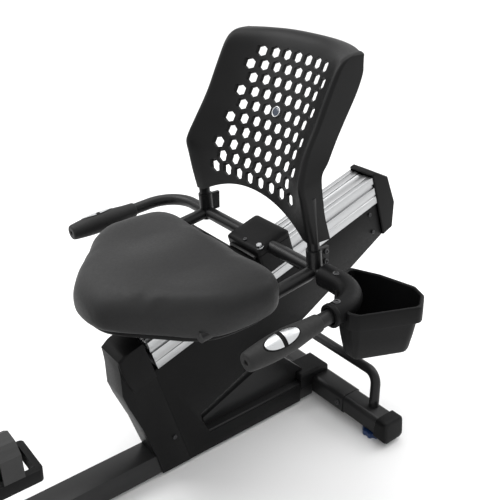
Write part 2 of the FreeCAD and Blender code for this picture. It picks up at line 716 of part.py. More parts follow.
def make_seat_frame():
    """Cross tube, seat side tubes, backrest posts and side handles, welded into one frame."""
    cross_x = size("cross_tube_x")
    cross_z = size("cross_tube_z")
    post_y = size("post_y")
    shape = round_bar(size("cross_tube_radius"), *across(cross_x, cross_z, -post_y, post_y))
    for _, side in SIDES:
        y = side * post_y
        front_x = -205
        tube = round_bar(size("seat_tube_radius"), Vector(cross_x, y, cross_z),
                         Vector(front_x, y, seat_tube_z(front_x)))
        foot = Vector(cross_x, y, cross_z - 14)
        collar = Vector(cross_x + 6, y, 533)
        post = round_bar(size("post_radius"), foot, collar)
        post_top = Vector(cross_x + 20, y, 652)
        upper = round_bar(size("post_top_radius"), Vector(cross_x + 5, y, 525), post_top)
        flange = block((cross_x - 34, y - 4, 486), (cross_x, y + 4, 530))
        handle = sweep_round(bent_path(handle_corners(side), [size("handle_bend")]), size("handle_radius"))
        shape = shape.multiFuse([tube, post, upper, flange, handle])
    front_z = seat_tube_z(-215)
    shape = shape.fuse(round_bar(11, Vector(-215, -post_y, front_z), Vector(-215, post_y, front_z)))
    node("seat_frame", feature("seat_frame", shape))


def socket_ends(side):
    """The two ends of the sleeve round one backrest post."""
    y = side * size("post_y")
    return Vector(size("cross_tube_x") + 6.2, y, 534), Vector(size("cross_tube_x") + 21, y, 661)


def backrest_sockets():
    """Moulded sleeves that carry the backrest shell on the two posts."""
    return [round_bar(size("socket_radius"), *socket_ends(side)) for _, side in SIDES]


def make_seat_pan():
    """The pressed pan under the cushion, resting on the side tubes."""
    lift = size("seat_tube_radius") + 0.3
    wall = size("pan_wall")
    half = 204
    outline = [(-400, seat_tube_z(-400) + lift), (-150, seat_tube_z(-150) + lift),
               (-150, seat_tube_z(-150) + lift + wall), (-400, seat_tube_z(-400) + lift + wall)]
    pan = prism(outline, -half, half)
    corner = block((-240, 120, 300), (-100, 260, 600))
    corner.rotate(Vector(-240, 204, 0), UP, -32)
    pan = pan.cut(corner).cut(mirrored(corner))
    node("seat_pan", feature("seat_pan", pan))


def make_seat_cushion():
    """The foam cushion: wide at the back, tapered at the thighs, hollow underneath."""
    half_plan = [(-408, 0), (-407, 130), (-398, 185), (-370, 216), (-310, 228), (-230, 216), (-186, 176),
                 (-150, 138), (-115, 110), (-84, 86), (-62, 50), (-54, 0)]
    plan = half_plan + [(x, -y) for x, y in reversed(half_plan[1:-1])]
    curve = Part.BSplineCurve()
    curve.interpolate([Vector(x, y, 400) for x, y in plan], PeriodicFlag=True)
    body = Part.Face(Part.Wire([curve.toShape()])).extrude(Vector(0, 0, 150))
    top = size("seat_top")
    bottom = size("seat_bottom")
    side_view = [(-420, bottom + 12), (-420, top - 26), (-398, top - 10), (-350, top - 1), (-260, top + 1),
                 (-180, top - 7), (-120, top - 25), (-76, top - 55), (-50, top - 80), (-50, bottom - 4),
                 (-120, bottom - 8), (-300, bottom - 8)]
    cushion = body.common(prism(side_view, -240, 240))
    lift = size("seat_tube_radius") + size("pan_wall") + 0.6
    recess = prism([(-450, 380), (-150, 380), (-150, seat_tube_z(-150) + lift),
                    (-450, seat_tube_z(-450) + lift)],
                   -208, 208)
    node("seat_cushion", feature("seat_cushion", cushion.cut(recess)))


# ---------------------------------------------------------------- backrest

def back_x(y, z):
    """Depth of the shell's front face at height z, y from the middle."""
    heights = (560, 627, 655, 684, 740, 797, 854, 905, 924)
    depths = (-490, -492, -500, -511.6, -539, -568, -597, -619, -627)
    for low, high, x_low, x_high in zip(heights, heights[1:], depths, depths[1:]):
        if z <= high:
            share = (z - low) / (high - low)
            return x_low + share * (x_high - x_low) + back_wrap(y, z)
    return depths[-1] + back_wrap(y, z)


def back_wrap(y, z):
    """How far the shell curves forward at y: most above its foot, and steeper towards its sides."""
    share = min(1.0, (z - size("back_bottom")) / 110)
    reach = size("back_wrap_foot") + share * (size("back_wrap_top") - size("back_wrap_foot"))
    return reach * (abs(y) / size("back_half_width")) ** 2.6


def back_half(z):
    """Half the shell's width at height z: wider at the feet, drawn in at the top."""
    if z < 725:
        return size("back_half_width") + (size("back_foot_half") - size("back_half_width")) * (
            (725 - z) / (725 - size("back_bottom")))
    return size("back_half_width") - 12 * max(0.0, (z - 850) / 80)


def back_section(y):
    """The shell's closed section in the plane of one y, over its whole height."""
    wall = size("back_wall")
    low = size("back_bottom") - 8
    high = size("back_top") + 4
    count = 10
    heights = [low + (high - low) * index / (count - 1) for index in range(count)]
    front = [Vector(back_x(y, z), y, z) for z in heights]
    rear = [Vector(point.x - wall, y, point.z - 0.4) for point in reversed(front)]
    curves = []
    for points in (front, rear):
        curve = Part.BSplineCurve()
        curve.interpolate(points)
        curves.append(curve.toShape())
    top = Part.LineSegment(front[-1], rear[0]).toShape()
    bottom = Part.LineSegment(rear[-1], front[0]).toShape()
    return Part.Wire([curves[0], top, curves[1], bottom])


def back_outline():
    """Front view of the shell as a solid punch: arched foot, straight sides, rounded shoulders."""
    low = size("back_bottom")
    top = size("back_top")
    heights = (low, 640, 690, 725, 780, 850, 890)
    edge = [(back_half(z), z) for z in heights]
    shoulder = [(back_half(915) - 3, 912), (back_half(top) - 22, top - 4), (120, top)]
    foot = (166, low)
    half = edge + shoulder
    points = [Vector(-1000, y, z) for y, z in half]
    points += [Vector(-1000, -y, z) for y, z in reversed(half)]
    left_foot = Vector(-1000, -foot[0], foot[1])
    right_foot = Vector(-1000, foot[0], foot[1])
    arch = Part.Arc(left_foot, Vector(-1000, 0, size("back_arch")), right_foot).toShape()
    edges = Part.makePolygon([right_foot] + points + [left_foot]).Edges
    return Part.Face(Part.Wire(edges + [arch])).extrude(Vector(700, 0, 0))


def hex_prism(y, z):
    """A six-sided punch through the shell, pointing along its lean."""
    radius = size("hex_flats") / math.sqrt(3)
    lean = math.radians(26.7)
    up = Vector(-math.sin(lean), 0, math.cos(lean))
    out = Vector(math.cos(lean), 0, math.sin(lean))
    centre = Vector(back_x(y, z), y, z) - out * 30
    corners = []
    for index in range(6):
        angle = math.radians(60 * index + 30)
        corners.append(centre + LEFT * radius * math.cos(angle) + up * radius * math.sin(angle))
    return Part.Face(Part.makePolygon(corners + corners[:1])).extrude(out * 60)


def hex_centres():
    """Rows of holes in a honeycomb; the middle of the fifth row carries the badge."""
    pitch = size("hex_pitch")
    lean = math.cos(math.radians(26.7))
    centres = []
    for row in range(10):
        z = 883 - row * size("hex_row_pitch") * lean
        count = 7 if row % 2 == 0 else 8
        for index in range(count):
            y = (index - (count - 1) / 2) * pitch
            if row == 4 and index == 3:
                continue
            centres.append((y, z))
    return centres


def make_backrest_shell():
    """The perforated moulded shell with its side wings and the two mounting sleeves."""
    reach = size("back_foot_half") + 4
    sections = [back_section(reach * step / 4) for step in range(-4, 5)]
    shell = Part.makeLoft(sections, True, False).common(back_outline())
    shell = shell.cut(Part.Compound([hex_prism(y, z) for y, z in hex_centres()]))
    upper = size("back_half_width")
    lower = size("back_foot_half")
    ridge = [(back_x(upper, z) - 1, z) for z in (725, 780, 850, 905)]
    rear_edge = [(-618, 900), (-616, 878), (-604, 838), (-562, 773), (-533, 725)]
    foot_ridge = [(back_x(lower, z) - 1, z) for z in (552, 600, 655, 690, 724)]
    foot_rear = [(-531, 724), (-500, 700), (-498, 677), (-510, 604), (-520, 552)]
    wings = []
    for _, side in SIDES:
        for outline, edge_y in ((ridge + rear_edge, upper - 1), (foot_ridge + foot_rear, upper + 10)):
            low_y, high_y = sorted((side * (edge_y - size("wing_wall")), side * edge_y))
            wings.append(prism(outline, low_y, high_y))
        step = prism([(back_x(upper, 724), 718), (back_x(upper, 724), 730), (-532, 730), (-532, 718)],
                     *sorted((side * (upper - 6), side * (upper + 10))))
        wings.append(step)
    shape = shell.multiFuse(wings + backrest_sockets())
    bores = []
    for _, side in SIDES:
        low, high = socket_ends(side)
        bores.append(round_bar(size("post_top_radius") + 0.2, low, high - (high - low).normalize() * 4))
    node("backrest_shell", feature("backrest_shell", shape.cut(Part.Compound(bores))))


def make_badge():
    """A round badge with a raised rim where one hole would be."""
    lean = math.radians(26.7)
    out = Vector(math.cos(lean), 0, math.sin(lean))
    z = 883 - 4 * size("hex_row_pitch") * math.cos(lean)
    start = Vector(back_x(0, z), 0, z) + out * 0.2
    disc = Part.makeCylinder(size("badge_radius"), size("badge_height"), start, out)
    dish = Part.makeCylinder(size("badge_radius") - 2.5, 2, start + out * (size("badge_height") - 1), out)
    node("backrest_badge", feature("backrest_badge", disc.cut(dish)))


# ---------------------------------------------------------------- handles and bin

def grip_axis(x):
    """Height of the side handle's centre line at x."""
    run = size("grip_front") + 4 - size("cross_tube_x")
    share = (x - size("cross_tube_x")) / run
    return size("handle_z") + size("handle_rise") - (size("handle_rise") + size("handle_fall")) * share


def make_grips():
    """Moulded hand grips, waisted at the ends and fuller in the palm."""
    rear = size("grip_rear")
    front = size("grip_front")
    profile = ((rear, 17.5), (rear + 26, 18.5), (rear + 60, 23), (rear + 105, 24), (front - 26, 20.5),
               (front - 5, 18.5), (front + 6, 15))
    slope = Vector(front - rear, 0, grip_axis(front) - grip_axis(rear)).normalize()
    for name, side in SIDES:
        y = side * size("handle_y")
        sections = []
        for x, radius in profile:
            centre = Vector(x, y, grip_axis(x))
            sections.append(Part.Wire([Part.makeCircle(radius, centre, slope)]))
        grip = Part.makeLoft(sections, True, False)
        bore = round_bar(size("handle_radius"), Vector(rear - 20, y, grip_axis(rear - 20)),
                         Vector(front + 4, y, grip_axis(front + 4)))
        node(f"grip_{name}", feature(f"grip_{name}", grip.cut(bore)))


def make_pulse_plates():
    """Pairs of half-oval metal plates let into the outer side of each grip."""
    rear = size("grip_rear")
    front = size("grip_front")
    middle = (rear + front) / 2 + 13
    slope = Vector(front - rear, 0, grip_axis(front) - grip_axis(rear)).normalize()
    plates = []
    for _, side in SIDES:
        y = side * size("handle_y")
        centre = Vector(middle, y, grip_axis(middle))
        out = Vector(0, side * 0.8, 0.6)
        out = (out - slope * out.dot(slope)).normalize()
        turn = Rotation(slope, out.cross(slope), out, "ZXY")
        for sign in (-1, 1):
            low = min(sign * 4, sign * 38)
            slab = block((middle + low, -14, 0), (middle + low + 34, 14, 2.4))
            slab = rounded(slab, 12, lambda edge: abs(edge.tangentAt(edge.FirstParameter).z) > 0.9
                           and abs(edge.CenterOfMass.x - middle) > 20)
            slab.translate(Vector(-middle, 0, 0))
            slab.Placement = Placement(centre + out * 24.9, turn).multiply(slab.Placement)
            plates.append(slab)
    node("pulse_plates", feature("pulse_plates", Part.Compound(plates)))


def bin_outline(inset, z):
    """The bin's rim seen from above, moved inwards by inset, at height z."""
    rim = [(-553, 246), (-603, 366), (-600, 396), (-560, 436), (-434, 384), (-426, 366), (-426, 322),
           (-500, 262)]
    centre_x = sum(x for x, _ in rim) / len(rim)
    centre_y = sum(y for _, y in rim) / len(rim)
    points = []
    for x, y in rim:
        reach = math.hypot(x - centre_x, y - centre_y)
        share = (reach - inset) / reach
        points.append(Vector(centre_x + (x - centre_x) * share, centre_y + (y - centre_y) * share, z))
    return Part.makePolygon(points + points[:1])


def elbow_path():
    """The stretch of the left handle's bend that the elbow cover follows."""
    path = bent_path(handle_corners(1), [size("handle_bend")])
    line, arc, _ = path.OrderedEdges[:3]
    lead = arc.valueAt(arc.FirstParameter)
    into = arc.tangentAt(arc.FirstParameter)
    tail = arc.valueAt(arc.LastParameter)
    out = arc.tangentAt(arc.LastParameter)
    if (lead - line.valueAt(line.LastParameter)).Length > 1:
        lead, tail = tail, lead
        into, out = out * -1, into * -1
    return Part.Wire([Part.LineSegment(lead - into * 34, lead).toShape(), arc,
                      Part.LineSegment(tail, tail + out * 14).toShape()])


def make_storage_bin():
    """A tapered open bin with a deep rim, shaped around the elbow of the left handle."""
    wall = size("bin_wall")
    top = size("bin_rim_top")
    rim_low = size("bin_rim_bottom")
    bottom = size("bin_bottom")
    tapered = [bin_outline(26, bottom), bin_outline(8, rim_low), bin_outline(6, top)]
    body = Part.makeLoft(tapered, True, True)
    rim = Part.makeLoft([bin_outline(0, rim_low), bin_outline(0, top)], True, True)
    hollow = Part.makeLoft([bin_outline(26 + wall, bottom + wall), bin_outline(8 + wall, rim_low),
                            bin_outline(6 + wall, top + 1)], True, True)
    shape = body.fuse(rim).cut(hollow)
    elbow = sweep_round(elbow_path(), size("elbow_radius") + 0.2)
    shape = shape.cut(elbow)
    solids = sorted(shape.Solids, key=lambda solid: solid.Volume)
    node("storage_bin", feature("storage_bin", solids[-1]))


def make_elbow_cover():
    """The two-screw moulding round the handle's bend that carries the bin."""
    path = elbow_path()
    shape = sweep_round(path, size("elbow_radius")).cut(sweep_round(path, size("handle_radius") + 0.1))
    node("elbow_cover", feature("elbow_cover", shape))


def make_seat_fasteners():
    """Screw heads on the backrest posts, the elbow cover and the carriage cover."""
    cross_x = size("cross_tube_x")
    heads = []
    for _, side in SIDES:
        out = Vector(0, side, 0)
        for z in (497, 520):
            heads.append(hex_bolt(Vector(cross_x - 25, side * (size("post_y") + 4), z), out, 6, 3))
    top = on_rail(size("carriage_shift") + 30, size("cover_top"))
    heads.append(hex_bolt(top, on_rail(0, 1) - on_rail(0, 0), 5, 3))
    node("seat_fasteners", feature("seat_fasteners", Part.Compound(heads)))


# ---------------------------------------------------------------- drive

def make_drive_frame():
    """The inner upright: post, crank bearing shell, mast socket and flywheel fork."""
    crank_x = size("crank_x")
    crank_z = size("crank_z")
    half = size("shell_half")
    top = size("beam_bottom") + size("beam_height")
    shape = block((crank_x - 24, -half, top), (crank_x + 24, half, crank_z))
    foot_x = size("mast_foot_x")
    foot_z = size("mast_foot_z")
    leg = prism([(crank_x - 20, crank_z), (crank_x + 26, crank_z),
                 (foot_x + 20, foot_z), (foot_x - 22, foot_z)], -half, half)
    shape = shape.fuse(leg)
    shape = shape.fuse(round_bar(size("shell_radius"), *across(crank_x, crank_z, -half - 2, half + 2)))
    shape = shape.cut(round_bar(size("bearing_radius"), *across(crank_x, crank_z, -40, 40)))
    fly_x = size("flywheel_x")
    fly_z = size("flywheel_z")
    foot = block((fly_x - 25, -48, top), (fly_x + 25, 48, top + 6))
    for _, side in SIDES:
        low_y, high_y = sorted((side * 42, side * 48))
        foot = foot.fuse(block((fly_x - 22, low_y, top), (fly_x + 22, high_y, fly_z + 20)))
    foot = foot.cut(round_bar(size("flywheel_axle_radius"), *across(fly_x, fly_z, -60, 60)))
    tie = block((crank_x, -half, top), (fly_x, half, top + 6))
    idler = idler_centre()
    tie = tie.fuse(block((idler.x - 12, 12, top), (idler.x + 12, half, idler.z + 12)))
    tie = tie.fuse(round_bar(size("idler_stud_radius"), *across(idler.x, idler.z, half - 2, 40)))
    node("drive_frame", feature("drive_frame", shape.fuse(tie).fuse(foot).removeSplitter()))


def make_crank_bearings():
    x = size("crank_x")
    z = size("crank_z")
    half = size("shell_half") + 2
    rings = [ring(size("bearing_radius"), size("axle_radius") + size("running_fit"),
                  *across(x, z, *sorted((side * (half - 10), side * half)))) for _, side in SIDES]
    node("crank_bearings", feature("crank_bearings", Part.Compound(rings)))


def make_crank():
    """Axle, drive pulley and the two arms, set half a turn apart."""
    x = size("crank_x")
    z = size("crank_z")
    half = size("axle_half")
    axle = bar("crank_axle", "Sheet.axle_radius", "2 * Sheet.axle_half", (x, -half, z))
    node("crank_axle", axle)
    low = size("pulley_low_y")
    width = size("pulley_width")
    radius = size("pulley_radius")
    pulley = ring(radius, radius - 14, *across(x, z, low, low + width))
    pulley = pulley.fuse(ring(26, size("axle_radius"), *across(x, z, low, low + width)))
    for index in range(5):
        angle = index * 2 * math.pi / 5
        spoke = block((20, low + 2, -9), (radius - 8, low + width - 2, 9))
        spoke.rotate(Vector(0, 0, 0), LEFT, math.degrees(angle))
        spoke.translate(Vector(x, 0, z))
        pulley = pulley.fuse(spoke)
    node("drive_pulley", feature("drive_pulley", pulley.removeSplitter()))
    reach = size("crank_radius")
    arms = []
    for _, side in SIDES:
        low_y, high_y = sorted((side * size("arm_inner"), side * (size("arm_inner") + size("arm_wall"))))
        end_x = x - side * reach
        arm = prism([(x, z - 17), (x, z + 17), (end_x, z + 13), (end_x, z - 13)], low_y, high_y)
        arm = arm.fuse(round_bar(20, *across(x, z, low_y, high_y)))
        arm = arm.fuse(round_bar(15, *across(x - side * reach, z, low_y, high_y)))
        arm = arm.cut(round_bar(size("axle_radius"), *across(x, z, -120, 120)))
        arms.append(arm.cut(round_bar(size("spindle_radius") + size("running_fit"),
                                      *across(x - side * reach, z, -120, 120))))
    node("crank_arms", feature("crank_arms", Part.Compound(arms)))


def pedal_centre(side):
    return size("crank_x") - side * size("crank_radius"), size("crank_z")


def make_pedals():
    """Weighted pedals with their spindles, and a foot strap over each."""
    length = size("pedal_length")
    width = size("pedal_width")
    height = size("pedal_height")
    inner = size("arm_inner") + size("arm_wall") + 8
    for name, side in SIDES:
        x, z = pedal_centre(side)
        low_z = z - height / 2
        body = block((x - length / 2, inner, low_z - 4), (x + length / 2, inner + width, low_z + height - 4))
        body = rounded(body, 8, lambda edge: abs(edge.tangentAt(edge.FirstParameter).z) > 0.9)
        for sign in (-1, 1):
            low, high = sorted((sign * 12, sign * 36))
            body = body.cut(block((x + low, inner + 14, z - 30), (x + high, inner + width - 14, z + 30)))
        spindle = round_bar(size("spindle_radius"), *across(x, z, size("arm_inner") + 1, inner + 1))
        boss = round_bar(8, *across(x, z, inner - 6, inner + width))
        weight = block((x - 18, inner + 20, low_z - 16), (x + 18, inner + width - 20, low_z - 3))
        pedal = body.fuse(spindle).fuse(boss).fuse(weight)
        arch = strap_arch(x, z, inner, width)
        if side < 0:
            pedal = mirrored(pedal)
            arch = mirrored(arch)
        node(f"pedal_{name}", feature(f"pedal_{name}", pedal.removeSplitter()))
        node(f"pedal_strap_{name}", feature(f"pedal_strap_{name}", arch))


def strap_arch(x, z, inner, width):
    """An arched foot strap from one side of the pedal to the other."""
    top = z + 62
    low = z + size("pedal_height") / 2 - 4 + 0.2
    wall = 3.5
    half_outer = [(0, low), (8, top - 14), (30, top)]
    half_inner = [(wall, low), (8 + wall, top - 14 - wall), (31, top - wall)]
    outer = half_outer + [(width - y, z) for y, z in reversed(half_outer)]
    inner_side = half_inner + [(width - y, z) for y, z in reversed(half_inner)]
    loop = [Vector(x - 16, inner + y, z) for y, z in outer + inner_side[::-1]]
    return Part.Face(Part.makePolygon(loop + loop[:1])).extrude(Vector(36, 0, 0))


def make_flywheel():
    """A heavy rimmed wheel with its belt pulley on one hub, on a fixed axle."""
    x = size("flywheel_x")
    z = size("flywheel_z")
    half = size("flywheel_width") / 2
    radius = size("flywheel_radius")
    bore = size("flywheel_axle_radius") + size("running_fit")
    wheel = ring(radius, radius - 26, *across(x, z, -half, half))
    wheel = wheel.fuse(ring(radius - 20, bore, *across(x, z, -5, 5)))
    hub = ring(20, bore, *across(x, z, -half - 8, 38))
    low = size("pulley_low_y")
    pulley = ring(size("small_pulley_radius"), bore, *across(x, z, low, low + size("pulley_width")))
    node("flywheel", feature("flywheel", wheel.fuse(hub).fuse(pulley).removeSplitter()))
    axle = bar("flywheel_axle", "Sheet.flywheel_axle_radius", "96", (x, -48, z))
    node("flywheel_axle", axle)


def belt_band(radius_large, radius_small, low_y, high_y):
    """The solid that a belt of no thickness would hold round the two pulleys."""
    large = Vector(size("crank_x"), low_y, size("crank_z"))
    small = Vector(size("flywheel_x"), low_y, size("flywheel_z"))
    span = small - large
    lean = math.asin((radius_large - radius_small) / span.Length)
    unit = Vector(span).normalize()
    square = Vector(-unit.z, 0, unit.x)
    upper = square * math.cos(lean) + unit * math.sin(lean)
    lower = square * -math.cos(lean) + unit * math.sin(lean)
    points = [large + upper * radius_large, small + upper * radius_small,
              small + lower * radius_small, large + lower * radius_large]
    edges = [Part.LineSegment(points[0], points[1]).toShape(),
             Part.Arc(points[1], small + unit * radius_small, points[2]).toShape(),
             Part.LineSegment(points[2], points[3]).toShape(),
             Part.Arc(points[3], large - unit * radius_large, points[0]).toShape()]
    return Part.Face(Part.Wire(edges)).extrude(Vector(0, high_y - low_y, 0)), points, lower


def belt_radii():
    gap = size("clearance")
    return size("pulley_radius") + gap, size("small_pulley_radius") + gap


def belt_span():
    low = size("pulley_low_y") + 1
    return low, low + size("pulley_width") - 2


def idler_centre():
    """Middle of the idler, just outside the belt's lower run."""
    large, small = belt_radii()
    wall = size("belt_wall")
    _, points, lower = belt_band(large + wall, small + wall, *belt_span())
    return (points[2] + points[3]) * 0.5 + lower * (size("idler_radius") + size("clearance"))


def make_belt():
    large, small = belt_radii()
    wall = size("belt_wall")
    outer = belt_band(large + wall, small + wall, *belt_span())[0]
    inner = belt_band(large, small, *belt_span())[0]
    node("drive_belt", feature("drive_belt", outer.cut(inner)))
    middle = idler_centre()
    ends = across(middle.x, middle.z, *belt_span())
    bore = size("idler_stud_radius") + size("running_fit")
    node("idler", feature("idler", ring(size("idler_radius"), bore, *ends)))


def make_brake():
    """The eddy-current brake: a magnet shoe that straddles the flywheel's rim."""
    x = size("flywheel_x")
    z = size("flywheel_z")
    radius = size("flywheel_radius")
    half = size("flywheel_width") / 2
    shoe = ring(radius + 16, radius - 18, *across(x, z, -half - 9, half + 9))
    slot = ring(radius + 3, radius - 20, *across(x, z, -half - 2, half + 2))
    wedge = prism([(x, z), (x + 90, z + 200), (x - 60, z + 200)], -60, 60)
    arm = block((x - 70, -12, z + radius + 8), (x + 10, 12, z + radius + 22))
    shape = shoe.cut(slot).common(wedge).fuse(arm)
    node("brake_magnet", feature("brake_magnet", shape.removeSplitter()))


# ---------------------------------------------------------------- shroud, mast and console

def shroud_outline():
    """Side view of the drive shroud as a closed wire in the plane y = 0."""
    centre_x = size("crank_x") - 8
    centre_z = 275
    radius = 187

    def rim(angle):
        turn = math.radians(angle)
        return Vector(centre_x + radius * math.cos(turn), 0, centre_z + radius * math.sin(turn))

    floor = size("beam_bottom") + size("beam_height") + 1
    rear_foot = Vector(centre_x - 72, 0, floor)
    front_foot = Vector(588, 0, floor)
    front_low = Vector(628, 0, floor + 40)
    front_high = Vector(640, 0, 330)
    neck_front = Vector(size("mast_foot_x") + 46, 0, 600)
    neck_rear = Vector(size("mast_foot_x") - 44, 0, 600)
    edges = [Part.LineSegment(rear_foot, front_foot), Part.LineSegment(front_foot, front_low),
             Part.Arc(front_low, Vector(650, 0, 215), front_high),
             Part.LineSegment(front_high, neck_front), Part.LineSegment(neck_front, neck_rear),
             Part.LineSegment(neck_rear, rim(80)), Part.Arc(rim(80), rim(150), rim(232)),
             Part.LineSegment(rim(232), rear_foot)]
    return Part.Wire([edge.toShape() for edge in edges])


def make_shroud():
    """Two half shells with rounded outer rims, a crank opening and a way out for the mast."""
    half = size("shroud_half")
    wall = size("shroud_wall")
    face = Part.Face(shroud_outline())
    outer = face.extrude(Vector(0, half, 0))
    outer = rounded(outer, 10, lambda edge: edge.CenterOfMass.y > half - 0.1)
    centre = face.CenterOfMass
    inner = face.makeOffset2D(-wall).extrude(Vector(0, half - wall, 0))
    shell = outer.cut(inner)
    crank_hole = round_bar(30, *across(size("crank_x"), size("crank_z"), 0, half + 10))
    axis = Vector(size("mast_top_x") - size("mast_foot_x"), 0, size("mast_top_z") - size("mast_foot_z"))
    foot = Vector(size("mast_foot_x"), 0, size("mast_foot_z"))
    mast_way = Part.makeCylinder(size("mast_radius") + 1, 200, foot, axis)
    beam_way = block((centre.x - 400, -50, 0), (centre.x + 400, size("beam_width") / 2 + 0.5,
                                                size("beam_bottom") + size("beam_height") + 10))
    fork_x = size("flywheel_x")
    fork_way = block((fork_x - 26, 0, 0), (fork_x + 26, 49, size("beam_bottom") + size("beam_height") + 7))
    shell = shell.cut(crank_hole).cut(mast_way).cut(beam_way).cut(fork_way)
    inlet_way = round_bar(inlet_radius() + size("clearance"), inlet_place(), inlet_place() + FORWARD * 60)
    for name, side in SIDES:
        shape = shell if side > 0 else mirrored(shell).cut(inlet_way)
        node(f"shroud_{name}", feature(f"shroud_{name}", shape))


def make_mast():
    foot = Vector(size("mast_foot_x"), 0, size("mast_foot_z") + 2.8)
    top = Vector(size("mast_top_x"), 0, size("mast_top_z"))
    outer = round_bar(size("mast_radius"), foot, top)
    inner = round_bar(size("mast_radius") - size("mast_wall"), foot, top)
    node("mast", feature("mast", outer.cut(inner).fuse(handlebar_saddle()).removeSplitter()))


def mast_x(z):
    share = (z - size("mast_foot_z")) / (size("mast_top_z") - size("mast_foot_z"))
    return size("mast_foot_x") + share * (size("mast_top_x") - size("mast_foot_x"))


def handlebar_x():
    return mast_x(size("bar_z")) - size("mast_radius") - size("bar_radius") - 6


def handlebar_saddle():
    """The bracket welded on the mast's rear face that holds the handlebar."""
    bar_z = size("bar_z")
    centre_x = handlebar_x()
    saddle = block((centre_x - 20, -24, bar_z - 18), (mast_x(bar_z) - 8, 24, bar_z + 18))
    hollow = round_bar(size("mast_radius") - size("mast_wall"), Vector(mast_x(bar_z - 60), 0, bar_z - 60),
                       Vector(mast_x(bar_z + 60), 0, bar_z + 60))
    return saddle.cut(round_bar(size("bar_radius"), *across(centre_x, bar_z, -60, 60))).cut(hollow)


def make_front_handlebar():
    """A bent bar clamped on the rear of the mast, with foam on both ends."""
    bar_z = size("bar_z")
    half = size("bar_half")
    centre_x = handlebar_x()
    rear_x = centre_x - 190
    corners = [Vector(rear_x, half, bar_z + 62), Vector(centre_x, half, bar_z),
               Vector(centre_x, -half, bar_z), Vector(rear_x, -half, bar_z + 62)]
    path = bent_path(corners, [55, 55])
    shape = sweep_round(path, size("bar_radius")).cut(sweep_round(path, size("bar_radius") - 2))
    node("front_handlebar", feature("front_handlebar", shape))
    foams = []
    for _, side in SIDES:
        low = Vector(rear_x - 2, side * half, bar_z + 62.6)
        high = Vector(centre_x - 62, side * half, bar_z + 20.2)
        foams.append(ring(size("foam_radius"), size("bar_radius") + 0.05, low, high))
    node("front_grips", feature("front_grips", Part.Compound(foams)))


def console_placement():
    """Console frame: local X to the rider's left, local Y up the face, local Z out of the face."""
    tilt = size("console_tilt")
    face = Rotation(LEFT, -(90 - tilt)).multiply(Rotation(UP, 90))
    return Placement(Vector(size("console_x"), 0, size("console_z")), face)


def console_block(low, high, corner=0.0):
    shape = block(low, high)
    if corner:
        shape = rounded(shape, corner, lambda edge: abs(edge.tangentAt(edge.FirstParameter).z) > 0.9)
    return shape


def place_on_console(shape):
    shape.Placement = console_placement().multiply(shape.Placement)
    return shape


def key_places():
    """Centres of the console keys along the bottom of the face."""
    return {"key_start": (0.0, -78.0), "key_level": (44.0, -78.0)}


def make_console():
    """Rear and front shells, a screen and two keys that travel."""
    wide = size("console_half_width")
    tall = size("console_half_height")
    depth = size("console_depth")
    back = console_block((-wide, -tall, -depth), (wide, tall, -12), 24)
    back = back.cut(console_block((-wide + 4, -tall + 4, -depth + 4), (wide - 4, tall - 4, 0), 20))
    front = console_block((-wide, -tall, -12), (wide, tall, 0), 24)
    window = console_block((-92, -44, -6), (92, 76, 1), 6)
    front = front.cut(window)
    screen = console_block((-91.8, -43.8, -6), (91.8, 75.8, -1.5), 6)
    for name, (x, y) in key_places().items():
        opening = console_block((x - 15, y - 9, -9), (x + 15, y + 9, 2), 5)
        front = front.cut(opening)
        key = console_block((x - 14.6, y - 8.6, -6.5), (x + 14.6, y + 8.6, 1.5), 4.8)
        node(name, feature(name, place_on_console(key)))
    front = place_on_console(front)
    back = place_on_console(back)
    mast_line = round_bar(size("mast_radius") + 0.2, Vector(mast_x(800), 0, 800),
                          Vector(size("mast_top_x"), 0, size("mast_top_z")))
    node("console_back", feature("console_back", back.cut(mast_line)))
    node("console_front", feature("console_front", front))
    node("console_screen", feature("console_screen", place_on_console(screen)))


def inlet_radius():
    return 9.0


def inlet_place():
    """Back of the low-voltage inlet, inside the front of the shroud."""
    return Vector(624, -30, 190)


def make_power_inlet():
    """The low-voltage inlet low on the front of the shroud."""
    low = inlet_place()
    body = ring(inlet_radius(), 4, low, low + FORWARD * 26)
    pin = round_bar(1.2, low, low + FORWARD * 16)
    base = round_bar(inlet_radius(), low, low + FORWARD * 3)
    node("power_inlet", feature("power_inlet", body.fuse(pin).fuse(base)))


def check_document():
    """Stop before writing anything if an object failed or a sub-part is not sound."""
    doc.recompute()
    failed = [item.Name for item in doc.Objects if {"Invalid", "Error"} & set(item.State)]
    if failed:
        raise RuntimeError(f"failed objects: {failed}")
    unsound = [item.Label for item in NODES
               if item.Shape.isNull() or not item.Shape.isValid() or item.Shape.Volume <= 0]
    if unsound:
        raise RuntimeError(f"unsound sub-parts: {unsound}")
    labels = [item.Label for item in NODES]
    if len(set(labels)) != len(labels) or len(labels) > 60:
        raise RuntimeError(f"{len(labels)} sub-parts, or a name used twice")


def write_parts():
    os.makedirs("parts", exist_ok=True)
    for item in NODES:
        item.Shape.exportStep(f"parts/{item.Label}.step")
    print(len(NODES), "sub-parts written")


for make in (make_main_beam, make_rear_stabilizer, make_front_stabilizer, make_transport_wheels,
             make_foot_caps, make_levelers,
             make_lift_handle, make_stabilizer_cover, make_rear_gusset, make_rail_frame, make_rail,
             make_rail_housing, make_nose_cover, make_rail_end_cap, make_frame_fasteners,
             make_carriage_frame, make_carriage_cover, make_rollers, make_lock, make_seat_frame,
             make_seat_pan, make_seat_cushion, make_backrest_shell, make_badge, make_grips,
             make_pulse_plates, make_storage_bin, make_elbow_cover, make_seat_fasteners,
             make_drive_frame, make_crank_bearings, make_crank, make_pedals, make_flywheel, make_belt,
             make_brake, make_shroud, make_mast, make_front_handlebar, make_console, make_power_inlet):
    make()

check_document()
write_parts()
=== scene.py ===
"""Looks for a recumbent exercise bike: finishes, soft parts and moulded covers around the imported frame."""

import math

